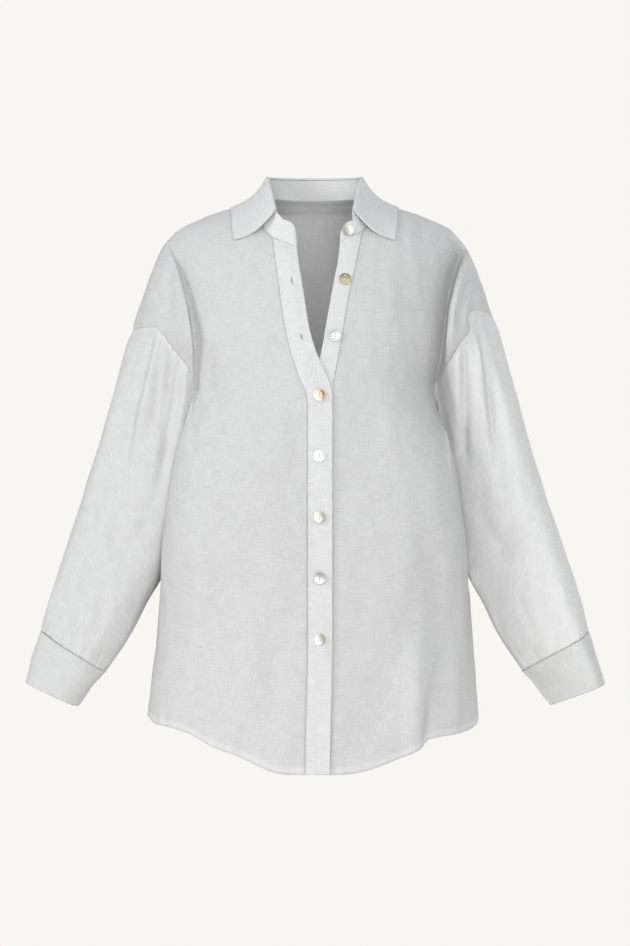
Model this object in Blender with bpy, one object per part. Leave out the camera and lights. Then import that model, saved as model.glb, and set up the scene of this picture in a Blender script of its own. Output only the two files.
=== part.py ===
"""A white linen shirt as it hangs when worn: hollow, open at the neck, buttoned from the chest down.

All sizes are millimetres until a mesh is written in metres. X points to the viewer's right, which is the
wearer's left, Y points back and Z up. The origin lies midway between the two points where the collar meets
the shoulder seams. "Right" and "left" in names are the wearer's.
"""

from collections import namedtuple

import bpy
import bmesh
import numpy as np
from mathutils import Matrix, Vector

MM = 0.001
RIGHT, LEFT = -1, 1
FRONT, BACK = -1, 1

# Cloth walls and the space between neighbours.
PANEL_WALL = 1.2
DOUBLE_WALL = 2.0
SEAM_GAP = 0.32
LAYER_GAP = 0.4

# How finely each piece is divided.
ARMHOLE_STEPS = 14
SIDE_STEPS = 16
NECK_STEPS = 5
PANEL_COLUMNS = 11
SLEEVE_STEPS = 16
CUFF_STEPS = 2
BAND_COLUMNS = 2
STAND_STEPS = 2
COLUMN_CROWDING = 1.15
RIDGE_STEPS = 800
RIDGE_BELOW_HEM = 10

# The body's level sections. Above the armholes the half width is the shoulder slope seen from the front.
Section = namedtuple("Section", "z half_width front_depth back_depth squareness")
BODY = (
    Section(10, 50, 5, 53, 2.0),
    Section(3, 62, 12, 57, 2.0),
    Section(-3, 79, 20, 62, 2.0),
    Section(-9, 99, 29, 66, 2.0),
    Section(-15, 121, 38, 71, 2.0),
    Section(-26, 149, 50, 77, 2.0),
    Section(-36, 170, 60, 82, 2.0),
    Section(-46, 182, 68, 86, 2.0),
    Section(-61, 194, 78, 91, 2.0),
    Section(-77, 202, 86, 95, 2.0),
    Section(-102, 212, 95, 100, 2.0),
    Section(-128, 221, 102, 104, 2.0),
    Section(-154, 229, 107, 107, 2.0),
    Section(-168, 231, 109, 109, 2.0),
    Section(-180, 223, 111, 110, 2.0),
    Section(-200, 206, 114, 111, 2.0),
    Section(-220, 186, 116, 112, 2.05),
    Section(-240, 167, 118, 112, 2.2),
    Section(-260, 161, 119, 113, 2.5),
    Section(-280, 162, 119, 113, 2.9),
    Section(-310, 172, 120, 113, 3.3),
    Section(-350, 182, 121, 114, 3.5),
    Section(-400, 190, 121, 114, 3.5),
    Section(-450, 196, 121, 114, 3.2),
    Section(-500, 197.5, 121, 114, 2.8),
    Section(-560, 202, 122, 114, 2.4),
    Section(-660, 210.5, 123, 115, 2.4),
    Section(-730, 214, 124, 116, 2.4),
)

# The front edge of each armhole, from the end of the shoulder seam round to the underarm. "turn" is the angle
# round the body from centre front. The sleeve's own angle, "around", starts at the arm's outer side.
Armhole = namedtuple("Armhole", "around turn z")
ARMHOLE = {
    RIGHT: (
        Armhole(0, 90, -168),
        Armhole(20, 75.5, -165),
        Armhole(42, 61, -165),
        Armhole(60, 57.5, -175),
        Armhole(90, 58.5, -198),
        Armhole(115, 61.5, -220),
        Armhole(138, 67, -240),
        Armhole(160, 77.5, -261),
        Armhole(180, 90, -275),
    ),
    LEFT: (
        Armhole(0, 90, -152),
        Armhole(20, 75.5, -145),
        Armhole(42, 65.5, -143),
        Armhole(60, 59.5, -156),
        Armhole(90, 58, -188),
        Armhole(115, 62, -219),
        Armhole(138, 68.5, -241),
        Armhole(160, 77.5, -261),
        Armhole(180, 90, -275),
    ),
}

# The sleeve's rings: the outer and inner points seen from the front, the ring's middle and half depth in Y.
Ring = namedtuple("Ring", "out_x out_z in_x in_z y depth")
SLEEVE = (
    Ring(231, -168, 152, -275, 0, 58),
    Ring(239, -184, 151, -300, 2, 59),
    Ring(248, -214, 150, -325, 5, 59),
    Ring(263, -268, 152, -350, 8, 57),
    Ring(283, -335, 161, -395, 9, 54),
    Ring(301, -392, 179, -440, 8, 52),
    Ring(317, -440, 196, -481, 5, 50),
    Ring(333, -489, 215, -515, 0, 47),
    Ring(343, -526, 237, -559, -5, 44),
    Ring(348, -551, 266, -602, -8, 39),
)
CUFF = (
    Ring(348.3, -552.5, 269.3, -602.5, -8, 38),
    Ring(360, -585, 286, -625, -11, 37),
    Ring(368, -615.5, 301.5, -646, -13, 35.5),
)
SLEEVE_SQUARENESS = 2.7
ARM_CLEARANCE = 8.0
UNDERARM_CLEARANCE = 6.0
UNDERARM_SPREAD = 30.0
PRESS_SOFTNESS = 5.0
ARMHOLE_BLEND = 90.0
CUFF_BLEND = 25.0
GATHER_WAVES = 7
GATHER_DEPTH = 1.5
GATHER_LENGTH = 60.0
GATHER_SHIFT = 0.4
GATHER_LEFT_AT_CUFF = 0.35
GATHER_EASE_AT_CUFF = 12.0
SLEEVE_FOLD_START = 20.0
SLEEVE_HEAD_STEP = 0.9

# Below the underarm the body's side is pressed in by the sleeve. Above it the press gives way.
PRESS_END_SLOPE = 60.0
PRESS_LIFTED = 300.0
PRESS_LIFT_START = 12.0
PRESS_LIFT_RUN = 60.0

# The neckline on each side, from the front end to the shoulder seam, and the two front bands, as seen from
# the front. The right band lies on the left one below the opening.
Line = namedtuple("Line", "x z")
SHOULDER_NECK = Line(62, 3)
BACK_NECK_RISE = 3
NECKLINE = {
    RIGHT: (Line(-22, -66), Line(-36, -62), Line(-53, -53), Line(-65, -40), Line(-70, -24), Line(-69, -8)),
    LEFT: (Line(32, -59), Line(46, -56), Line(60, -45), Line(68, -34), Line(71, -20), Line(69, -7)),
}
BAND_SEAM = {
    RIGHT: (Line(-53, -53), Line(-47, -95), Line(-37, -165), Line(-29, -200), Line(-18, -233),
            Line(-9, -254), Line(-8, -275), Line(-8, -730)),
    LEFT: (Line(60, -45), Line(52, -86), Line(44, -121), Line(35.5, -171), Line(29, -209), Line(22.5, -244),
           Line(21, -275), Line(21, -730)),
}
BAND_EDGE = {
    RIGHT: (Line(-22, -66), Line(-19, -90), Line(-14, -120), Line(-6, -170), Line(4, -203), Line(13, -222),
            Line(20.5, -242), Line(22.5, -258), Line(22.5, -730)),
    LEFT: (Line(32, -59), Line(29.5, -83), Line(24.5, -108), Line(15.5, -158), Line(9, -195), Line(0, -230),
           Line(-7, -258), Line(-7.5, -730)),
}
OVERLAP_LIFT = DOUBLE_WALL + LAYER_GAP
OVERLAP_FADE = 70.0
OVERLAP_BEYOND_SEAM = 4.0
OVERLAP_TOP_Z = -40
OVERLAP_TOP_FADE = 60.0
BAND_TOP_CURVE = 4

# The hem as seen from the front: lowest at centre front, curving up to the side seams.
HEM = {
    RIGHT: (Line(0, -724), Line(30, -724), Line(50, -721.5), Line(66, -715), Line(94, -702.5),
            Line(130, -690), Line(155, -676.5), Line(176, -670), Line(202, -666)),
    LEFT: (Line(0, -724), Line(30, -724), Line(50, -722.5), Line(66, -719), Line(102, -706.5),
           Line(131, -694), Line(144, -682), Line(190, -675), Line(206, -668)),
}
HEM_FRONT_Z = HEM[RIGHT][0].z
HEM_SIDE_X = 216
HEM_SIDE_Z = -657
WAIST_ROW_Z = -290
HEM_SWAY = -3
HEM_SWAY_START = -560
SHOULDER_END_Z = ARMHOLE[RIGHT][0].z
UNDERARM_Z = ARMHOLE[RIGHT][-1].z

# The largest folds: "path" is (x, z) on the garment, "rise" is positive for a ridge. A fold sinks to a share
# of its rise at both ends, and fades where the surface turns to the other face.
Fold = namedtuple("Fold", "face path rise width")
BODY_FOLDS = (
    Fold(FRONT, ((-176, -62), (-162, -98), (-151, -132), (-143, -168), (-137, -220)), -12, 17),
    Fold(FRONT, ((-196, -72), (-184, -100), (-174, -132), (-166, -165)), 8, 12),
    Fold(FRONT, ((186, -62), (174, -98), (165, -126), (159, -160), (153, -215)), -20, 21),
    Fold(FRONT, ((206, -84), (196, -108), (188, -138), (181, -172)), 9, 12),
    Fold(FRONT, ((-138, -370), (-142, -440), (-150, -520), (-158, -600), (-160, -690)), 5, 20),
    Fold(FRONT, ((140, -400), (150, -470), (158, -540), (163, -640)), -5, 18),
    Fold(FRONT, ((118, -560), (124, -620), (128, -700)), 6, 16),
    Fold(FRONT, ((-70, -480), (-78, -560), (-84, -640), (-86, -705)), 4, 20),
    Fold(BACK, ((-186, -64), (-170, -100), (-160, -140), (-150, -190), (-144, -240)), -7, 13),
    Fold(BACK, ((182, -66), (168, -100), (158, -142), (150, -194), (142, -250)), -6, 13),
    Fold(BACK, ((-110, -300), (-118, -400), (-124, -520), (-130, -690)), 6, 24),
    Fold(BACK, ((104, -280), (112, -400), (122, -520), (130, -690)), 6, 24),
    Fold(BACK, ((40, -340), (48, -460), (56, -580), (60, -700)), -6, 24),
    Fold(BACK, ((-38, -380), (-46, -480), (-50, -580), (-54, -700)), -5, 24),
)
SLEEVE_FOLDS = (
    Fold(FRONT, ((-204, -168), (-212, -203), (-225, -248), (-234, -280), (-240, -310)), -5, 11),
    Fold(FRONT, ((-196, -180), (-199, -215), (-209, -252), (-217, -285)), 4, 11),
    Fold(FRONT, ((-176, -222), (-181, -262), (-188, -300), (-196, -340)), -4, 10),
    Fold(FRONT, ((208, -168), (216, -200), (224, -248), (230, -285), (233, -320)), -5, 11),
    Fold(FRONT, ((192, -186), (196, -215), (198, -240), (200, -270)), 4, 11),
    Fold(BACK, ((-206, -172), (-214, -210), (-224, -255), (-236, -300)), -5, 12),
    Fold(BACK, ((204, -172), (212, -212), (222, -258), (232, -306)), -5, 12),
    Fold(FRONT, ((-262, -420), (-240, -446), (-222, -458)), -4, 12),
    Fold(FRONT, ((266, -410), (244, -438), (226, -452)), -4, 12),
    Fold(BACK, ((-286, -400), (-256, -430), (-226, -448)), -5, 13),
    Fold(BACK, ((284, -392), (254, -424), (228, -444)), -5, 13),
)

FOLD_END_RUN = 0.3
FOLD_END_SHARE = 0.2
FOLD_FACE_FADE = 0.35
FOLD_SIDEWAYS = 0.4

# The collar. The stand's top edge carries the leaf from one break point round the back to the other.
Top = namedtuple("Top", "x y z")
STAND_TOP_BACK = Top(0, 52, 30)
STAND_TOP_SIDE = Top(59, 0, 27)
STAND_TOP_BREAK = Top(47, -68, -24)
STAND_END = {
    RIGHT: (Line(-39, -30), Line(-31, -33), Line(-25, -39), Line(-22, -50)),
    LEFT: (Line(48, -31), Line(41, -34), Line(35, -40), Line(32, -48)),
}
STAND_END_FORWARD = 1.0
STAND_FOOT_OUT = 0.1
STAND_TOP_FULLNESS = 0.9
ROLL_RADIUS = 2.6
ROLL_STEPS = 3
LEAF_STEPS = 4
LEAF_WALL = 1.8
LEAF_CLEARANCE = 1.6
LEAF_HUG = 4.5
LEAF_SAG = 8.0
LEAF_SAG_START = 0.6
LEAF_FRONT_Y = -20
LEAF_FRONT_Z = -12
ROLL_END = 0.25 * np.pi
# The leaf's free edge as turns and heights on the body, from centre back over the shoulder to the tip. At the
# sides the leaf drops close to the stand first, and its front edge sags between break and tip.
LeafEdge = namedtuple("LeafEdge", "along turn z")
LEAF_EDGE = (
    LeafEdge(0.0, 180, -13),
    LeafEdge(0.25, 141, -12),
    LeafEdge(0.4, 112, -10.5),
    LeafEdge(0.5, 90, -9.5),
    LeafEdge(0.6, 69, -13),
    LeafEdge(0.7, 54, -18.5),
    LeafEdge(0.8, 43, -28),
    LeafEdge(0.9, 36, -41),
    LeafEdge(1.0, 32, -57),
)

# Buttons: fifteen millimetre shell discs with two holes, one on the stand and seven on the bands.
BUTTON_RADIUS = 7.6
BUTTON_THICKNESS = 2.6
BUTTON_SIDES = 20
BUTTON_RIM = 1.5
BUTTON_DISH = 0.6
HOLE_RADIUS = 0.95
HOLE_OFFSET = 1.7
HOLE_SIDES = 8
BUTTON_SEAT = 0.3
STAND_BUTTON_SEAT = 1.2
BUTTON_LINE_X = 6
FIRST_CLOSED_BUTTON_Z = -252.6
BUTTON_PITCH = 75.8
CLOSED_BUTTONS = 5
OPEN_BUTTONS = (Line(38, -107.6), Line(25.5, -178.7))

# Colour, roughness and metallic value of each material.
CLOTH_LOOK = ((0.86, 0.86, 0.84, 1), 0.9, 0)
PEARL_LOOK = ((0.84, 0.82, 0.74, 1), 0.25, 0)

# Steps, in millimetres and radians, over which a surface's slopes are measured.
NORMAL_STEP = 0.05
TURN_STEP = 0.0005


def smooth_lookup(at, knots, values):
    """Reads a short table along a smooth curve that never overshoots its rows."""
    knots, values = np.asarray(knots, float), np.asarray(values, float)
    if knots[0] > knots[-1]:
        knots, values = knots[::-1], values[::-1]
    steps = np.diff(knots)
    rises = np.diff(values) / steps
    before, after = rises[:-1], rises[1:]
    same_way = before * after > 0
    total = np.where(same_way, before + after, 1.0)
    inner = np.where(same_way, 2 * before * after / total, 0.0)
    slopes = np.concatenate((rises[:1], inner, rises[-1:]))
    at = np.clip(at, knots[0], knots[-1])
    row = np.clip(np.searchsorted(knots, at, side="right") - 1, 0, len(steps) - 1)
    f = (at - knots[row]) / steps[row]
    rise = values[row + 1] - values[row]
    start, end = slopes[row] * steps[row], slopes[row + 1] * steps[row]
    return values[row] + f * start + f * f * (3 * rise - 2 * start - end) + f**3 * (start + end - 2 * rise)


def read(table, key, column, at):
    """One column of a table of named rows, read at a value of its key column."""
    return smooth_lookup(at, [getattr(row, key) for row in table], [getattr(row, column) for row in table])


def ease(f):
    """0 to 1 with level ends."""
    f = np.clip(f, 0, 1)
    return f * f * (3 - 2 * f)


def fold_relief(x, z, y_face, folds):
    """How far a set of folds lifts the cloth at points seen at (x, z) on the front or back face."""
    lift = np.zeros(np.shape(x))
    for fold in folds:
        path = np.array(fold.path, float)
        lengths = np.hypot(*np.diff(path, axis=0).T)
        starts = np.concatenate(([0], np.cumsum(lengths)))
        nearest, along = np.full(np.shape(x), 1e9), np.zeros(np.shape(x))
        for k, length in enumerate(lengths):
            step = (path[k + 1] - path[k]) / length
            run = np.clip((x - path[k, 0]) * step[0] + (z - path[k, 1]) * step[1], 0, length)
            distance = np.hypot(x - path[k, 0] - run * step[0], z - path[k, 1] - run * step[1])
            closer = distance < nearest
            nearest = np.where(closer, distance, nearest)
            along = np.where(closer, (starts[k] + run) / starts[-1], along)
        taper = ease(along / FOLD_END_RUN) * ease((1 - along) / FOLD_END_RUN)
        taper = FOLD_END_SHARE + (1 - FOLD_END_SHARE) * taper
        on_face = ease(fold.face * y_face / FOLD_FACE_FADE)
        lift = lift + fold.rise * np.exp(-((nearest / fold.width) ** 2)) * taper * on_face
    return lift


def sleeve_inside(y, z):
    """The sleeve's inner side at one height, which the body's side must stay clear of."""
    inner = read(SLEEVE, "in_z", "in_x", z)
    outer = read(SLEEVE, "out_z", "out_x", z)
    below = ease((UNDERARM_Z - z) / UNDERARM_SPREAD)
    margin = UNDERARM_CLEARANCE + (ARM_CLEARANCE - UNDERARM_CLEARANCE) * below
    across = (y - read(SLEEVE, "in_z", "y", z)) / (read(SLEEVE, "in_z", "depth", z) + margin)
    middle, half = (inner + outer) / 2, (outer - inner) / 2 + margin
    bulge = np.clip(1 - np.abs(across) ** SLEEVE_SQUARENESS, 0, 1) ** (1 / SLEEVE_SQUARENESS)
    beyond = PRESS_END_SLOPE * np.clip(np.abs(across) - 1, 0, 2)
    above = PRESS_LIFTED * ease((z - UNDERARM_Z - PRESS_LIFT_START) / PRESS_LIFT_RUN)
    return middle - half * bulge + beyond + above


def body_point(turn, z, side):
    """A point on the body's outer surface: "turn" runs from centre front, 0, to centre back, pi."""
    width, square = read(BODY, "z", "half_width", z), read(BODY, "z", "squareness", z)
    sine, cosine = np.sin(turn), np.cos(turn)
    reach = (np.abs(sine) ** square + np.abs(cosine) ** square) ** (-1 / square)
    depth = np.where(cosine > 0, read(BODY, "z", "front_depth", z), read(BODY, "z", "back_depth", z))
    x, y = width * reach * sine, -depth * reach * cosine
    limit = sleeve_inside(y, z)
    x = np.where(x > 0, x - PRESS_SOFTNESS * np.log1p(np.exp((x - limit) / PRESS_SOFTNESS)), x)
    lift = fold_relief(side * x, z, y / depth, BODY_FOLDS)
    if side == RIGHT:
        near_band = 1 - ease((x + BAND_SEAM[RIGHT][-1].x - OVERLAP_BEYOND_SEAM) / OVERLAP_FADE)
        lapped = near_band * ease((OVERLAP_TOP_Z - z) / OVERLAP_TOP_FADE)
        y = y - np.where(cosine > 0, OVERLAP_LIFT * lapped, 0)
    outward = np.stack([FOLD_SIDEWAYS * side * sine / width, -cosine / depth, np.zeros_like(x)], -1)
    outward /= np.linalg.norm(outward, axis=-1, keepdims=True)
    sway = HEM_SWAY * ease((HEM_SWAY_START - z) / (HEM_SWAY_START - HEM_FRONT_Z))
    return np.stack([side * x + sway, y, z + 0 * x], -1) + outward * lift[..., None]


def turn_at(x, z):
    """The turn at which the body's surface is seen at x from the front."""
    square = read(BODY, "z", "squareness", z)
    share = np.clip(np.abs(x) / read(BODY, "z", "half_width", z), 0, 0.9999) ** square
    return np.sign(x) * np.arctan((share / (1 - share)) ** (1 / square))


def with_normals(surface, first, second):
    """Points of a surface and its unit normals, pointing out of the garment."""
    points = surface(first, second)
    along_first = surface(first + TURN_STEP, second) - surface(first - TURN_STEP, second)
    along_second = surface(first, second + NORMAL_STEP) - surface(first, second - NORMAL_STEP)
    normals = np.cross(along_first, along_second)
    normals /= np.linalg.norm(normals, axis=-1, keepdims=True)
    return points, normals


def cloth_object(name, sheets, wall, collection, material):
    """A closed wall from grids of outer points and normals. Points that grids share are welded, so the rim
    runs only along the piece's real edges. The inner side steps in along the normals, which neighbours share
    at a seam, so the space between two pieces stays the same through the wall. Both sides are split along
    the same, shorter diagonals, so that the wall keeps its thickness where it twists."""
    outer, inner, index, faces = [], [], {}, []
    for points, normals in sheets:
        ids = np.zeros(points.shape[:2], int)
        for place in np.ndindex(*ids.shape):
            key = tuple(np.round(points[place], 2))
            if key not in index:
                index[key] = len(outer)
                outer.append(points[place])
                inner.append(points[place] - wall * normals[place])
            ids[place] = index[key]
        for r, c in np.ndindex(ids.shape[0] - 1, ids.shape[1] - 1):
            corners = ids[r, c], ids[r, c + 1], ids[r + 1, c + 1], ids[r + 1, c]
            diagonals = [np.linalg.norm(outer[corners[k]] - outer[corners[k + 2]]) for k in range(2)]
            k = int(diagonals[1] < diagonals[0])
            faces.append((corners[k], corners[k + 1], corners[k + 2]))
            faces.append((corners[k], corners[k + 2], corners[(k + 3) % 4]))
    count = len(outer)
    edges = {(face[k], face[(k + 1) % 3]) for face in faces for k in range(3)}
    rim = sorted(edge for edge in edges if edge[::-1] not in edges)
    mesh = bpy.data.meshes.new(name)
    mesh.from_pydata(
        [tuple(MM * value for value in point) for point in outer + inner],
        [],
        faces
        + [tuple(count + corner for corner in face[::-1]) for face in faces]
        + [(b, a, count + a, count + b) for a, b in rim],
    )
    shape = bmesh.new()
    shape.from_mesh(mesh)
    bmesh.ops.recalc_face_normals(shape, faces=shape.faces)
    shape.to_mesh(mesh)
    shape.free()
    mesh.shade_smooth()
    mesh.materials.append(material)
    collection.objects.link(bpy.data.objects.new(name, mesh))


def ridge_length(z):
    """Length along the shoulder seam's slope from its neck end, and on down below its outer end."""
    heights = np.linspace(SHOULDER_NECK.z, HEM_FRONT_Z - RIDGE_BELOW_HEM, RIDGE_STEPS)
    widths = read(BODY, "z", "half_width", np.maximum(heights, SHOULDER_END_Z))
    lengths = np.concatenate(([0], np.cumsum(np.hypot(np.diff(heights), np.diff(widths)))))
    return np.interp(-np.asarray(z, float), -heights, lengths), heights, lengths


def panel_grid(inner_turn, inner_z, side, face):
    """The outer points of a front or a half back. Its rows run from the neckline and centre line, given as
    turns and heights, to the armhole and the side seam. Its first row is the shoulder seam."""
    around = np.linspace(0, 180, ARMHOLE_STEPS + 1)
    hole_turn = np.radians(read(ARMHOLE[side], "around", "turn", around))
    if face == BACK:
        hole_turn = np.pi - hole_turn
    side_z = np.linspace(UNDERARM_Z, HEM_SIDE_Z, SIDE_STEPS + 1)[1:]
    outer_turn = np.concatenate((hole_turn, np.full(SIDE_STEPS, np.pi / 2)))
    outer_z = np.concatenate((read(ARMHOLE[side], "around", "z", around), side_z))
    _, heights, lengths = ridge_length(0)
    inner_s, outer_s = ridge_length(inner_z)[0], ridge_length(outer_z)[0]
    across = 1 - (1 - np.arange(PANEL_COLUMNS + 1) / PANEL_COLUMNS) ** COLUMN_CROWDING
    turn = inner_turn[:, None] + (outer_turn - inner_turn)[:, None] * across
    z = np.interp(inner_s[:, None] + (outer_s - inner_s)[:, None] * across, lengths, heights)
    hem_x = body_point(turn[-1], z[-1], side)[:, 0]
    hem = HEM[side] + (Line(HEM_SIDE_X, HEM_SIDE_Z),)
    hem_z = read(hem, "x", "z", np.abs(hem_x))
    lower = np.clip((np.arange(len(z)) - ARMHOLE_STEPS) / SIDE_STEPS, 0, 1) ** 2
    z = z + lower[:, None] * (hem_z - z[-1])
    points, normals = with_normals(lambda a, b: body_point(a, b, side), turn, z)
    normals *= side
    seam = np.zeros(points.shape[:2])
    seam[0, :], seam[ARMHOLE_STEPS:, -1] = 1, 1
    points[..., 1] += face * SEAM_GAP / 2 * seam
    return points, normals


def front_rows(side):
    """Turns and heights down a front's neckline and band seam."""
    neck = [SHOULDER_NECK._replace(x=side * SHOULDER_NECK.x)] + list(NECKLINE[side][::-1])
    seam_top = BAND_SEAM[side][0]
    neck = [row for row in neck if row.z >= seam_top.z]
    spots, knots = np.linspace(0, 1, NECK_STEPS + 1), np.linspace(0, 1, len(neck))
    neck_x = smooth_lookup(spots, knots, [row.x for row in neck])
    neck_z = smooth_lookup(spots, knots, [row.z for row in neck])
    upper_z = np.linspace(seam_top.z, WAIST_ROW_Z, ARMHOLE_STEPS - NECK_STEPS + 1)[1:]
    lower_z = np.linspace(WAIST_ROW_Z, HEM_FRONT_Z, SIDE_STEPS + 1)[1:]
    seam_z = np.concatenate((upper_z, lower_z))
    seam_x = read(BAND_SEAM[side], "z", "x", seam_z)
    x = np.concatenate((neck_x, seam_x))
    z = np.concatenate((neck_z, seam_z))
    turn = turn_at(side * x, z)
    turn[0] = np.pi / 2
    return turn, z


def front_panel(side):
    turn, z = front_rows(side)
    points, normals = panel_grid(turn, z, side, FRONT)
    points[NECK_STEPS:, 0, 0] += side * SEAM_GAP
    return points, normals


def back_half(side):
    neck_turn = np.linspace(np.pi / 2, np.pi, NECK_STEPS + 1)
    neck_z = SHOULDER_NECK.z + BACK_NECK_RISE * ease(np.linspace(0, 1, NECK_STEPS + 1))
    upper_z = np.linspace(neck_z[-1], WAIST_ROW_Z, ARMHOLE_STEPS - NECK_STEPS + 1)[1:]
    lower_z = np.linspace(WAIST_ROW_Z, HEM_FRONT_Z, SIDE_STEPS + 1)[1:]
    z = np.concatenate((neck_z, upper_z, lower_z))
    turn = np.concatenate((neck_turn, np.full(len(z) - len(neck_turn), np.pi)))
    return panel_grid(turn, z, side, BACK)


def band_grid(side):
    """A front band between its seam and its free edge. Its top follows the neckline."""
    _, z = front_rows(side)
    z = z[NECK_STEPS:]
    down = np.linspace(0, 1, len(z))
    edge_drop = (NECKLINE[side][0].z - BAND_SEAM[side][0].z) * (1 - down) ** BAND_TOP_CURVE
    across = np.linspace(0, 1, BAND_COLUMNS + 1)
    grid_z = z[:, None] + edge_drop[:, None] * across
    seam, edge = read(BAND_SEAM[side], "z", "x", grid_z), read(BAND_EDGE[side], "z", "x", grid_z)
    x = seam + (edge - seam) * across
    surface = lambda a, b: body_point(turn_at(side * a, b), b, side)
    return with_normals(surface, x, grid_z)


def ring_point(around, length, rings):
    """A point of a sleeve or cuff: "around" starts at the outer side and passes the front first."""
    mids = np.array([[(r.out_x + r.in_x) / 2, (r.out_z + r.in_z) / 2] for r in rings])
    at = np.concatenate(([0], np.cumsum(np.hypot(*np.diff(mids, axis=0).T))))
    row = {name: smooth_lookup(length, at, [getattr(r, name) for r in rings]) for name in Ring._fields}
    flat = np.abs(np.cos(around)) ** SLEEVE_SQUARENESS + np.abs(np.sin(around)) ** SLEEVE_SQUARENESS
    cosine, sine = [wave(around) * flat ** (-1 / SLEEVE_SQUARENESS) for wave in (np.cos, np.sin)]
    x = (row["out_x"] + row["in_x"]) / 2 + (row["out_x"] - row["in_x"]) / 2 * cosine
    z = (row["out_z"] + row["in_z"]) / 2 + (row["out_z"] - row["in_z"]) / 2 * cosine
    y = row["y"] - row["depth"] * sine
    return np.stack([x + 0 * y, y, z + 0 * y], -1), at[-1]


def sleeve_grid(side, seam_points, seam_normals):
    """A sleeve from the armhole's own points down to the cuff. The seam points go once around."""
    around = np.linspace(0, 2 * np.pi, 2 * ARMHOLE_STEPS + 1)
    mirror = np.array([side, 1, 1])
    total = ring_point(0.0, 0.0, SLEEVE)[1]
    length = np.linspace(0, total, SLEEVE_STEPS + 1)
    first = ring_point(around, 0.0, SLEEVE)[0]
    shift = seam_points * mirror - first

    def surface(angle, run):
        base = ring_point(angle, run, SLEEVE)[0]
        drift = np.stack([np.interp(angle % (2 * np.pi), around, shift[:, axis]) for axis in range(3)], -1)
        point = base + drift * (1 - ease(run / ARMHOLE_BLEND))[..., None]
        middle = np.stack([base[..., 0] * 0, read(SLEEVE, "in_z", "y", base[..., 2]), base[..., 2] * 0], -1)
        outward = np.stack([np.cos(angle), -np.sin(angle), 0 * angle], -1)
        to_cuff = total - run
        gathers = ease(1 - to_cuff / GATHER_LENGTH) * np.cos(GATHER_WAVES * angle + GATHER_SHIFT * side)
        lift = GATHER_DEPTH * gathers * ease(to_cuff / GATHER_EASE_AT_CUFF + GATHER_LEFT_AT_CUFF)
        face = (point - middle)[..., 1] / read(SLEEVE, "in_z", "depth", base[..., 2])
        folds = fold_relief(side * point[..., 0], point[..., 2], face, SLEEVE_FOLDS)
        lift = lift + folds * ease(run / SLEEVE_FOLD_START)
        return point + outward * lift[..., None]

    angles, runs = np.meshgrid(around, length)
    points, normals = with_normals(surface, angles, runs)
    points[:, -1], normals[:, -1] = points[:, 0], normals[:, 0]
    down = way_down(points)
    normals[-1] -= (normals[-1] @ down)[:, None] * down
    normals[-1] /= np.linalg.norm(normals[-1], axis=-1, keepdims=True)
    fold_back = np.sin(around / 2)[:, None] ** 2
    down = points[1] - points[0]
    down /= np.linalg.norm(down, axis=-1, keepdims=True)
    points[0] += SEAM_GAP * down + SLEEVE_HEAD_STEP * fold_back * seam_normals * mirror
    return points * mirror, normals * mirror


def way_down(points):
    """The direction in which a sleeve's last ring lies from the one before it."""
    step = points[-1].mean(axis=0) - points[-2].mean(axis=0)
    return step / np.linalg.norm(step)


def cuff_grid(side, sleeve):
    """A cuff from the sleeve's own end points down to its open edge. The two meet square to the arm."""
    mirror = np.array([side, 1, 1])
    around = np.linspace(0, 2 * np.pi, 2 * ARMHOLE_STEPS + 1)
    total = ring_point(0.0, 0.0, CUFF)[1]
    first = ring_point(around, 0.0, CUFF)[0]
    sleeve_points, sleeve_normals = sleeve[0] * mirror, sleeve[1] * mirror
    shift = sleeve_points[-1] + SEAM_GAP * way_down(sleeve_points) - first

    def surface(angle, run):
        drift = np.stack([np.interp(angle % (2 * np.pi), around, shift[:, axis]) for axis in range(3)], -1)
        return ring_point(angle, run, CUFF)[0] + drift * (1 - ease(run / CUFF_BLEND))[..., None]

    angles, runs = np.meshgrid(around, np.linspace(0, total, CUFF_STEPS + 1))
    points, normals = with_normals(surface, angles, runs)
    points[0], normals[0] = first + shift, sleeve_normals[-1]
    points[:, -1], normals[:, -1] = points[:, 0], normals[:, 0]
    return points * mirror, normals * mirror


def armhole_loop(front, back):
    """The armhole's points and normals once around: down the front edge and up the back one."""
    rows = slice(0, ARMHOLE_STEPS + 1)
    loop = [np.concatenate((front[k][rows, -1], back[k][rows, -1][::-1][1:])) for k in range(2)]
    return loop[0], loop[1]


def neckline_loop(bands, fronts, back_halves):
    """The neckline's points from the right front end round the back to the left front end."""
    pieces = []
    for side in (RIGHT, LEFT):
        band = bands[side][0][0, ::-1]
        front = fronts[side][0][: NECK_STEPS + 1, 0][::-1]
        back = back_halves[side][0][: NECK_STEPS + 1, 0]
        way = np.concatenate((band, front[1:-1], (front[-1:] + back[:1]) / 2, back[1:]))
        pieces.append(way if side == RIGHT else way[::-1][1:])
    return np.concatenate(pieces)


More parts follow.
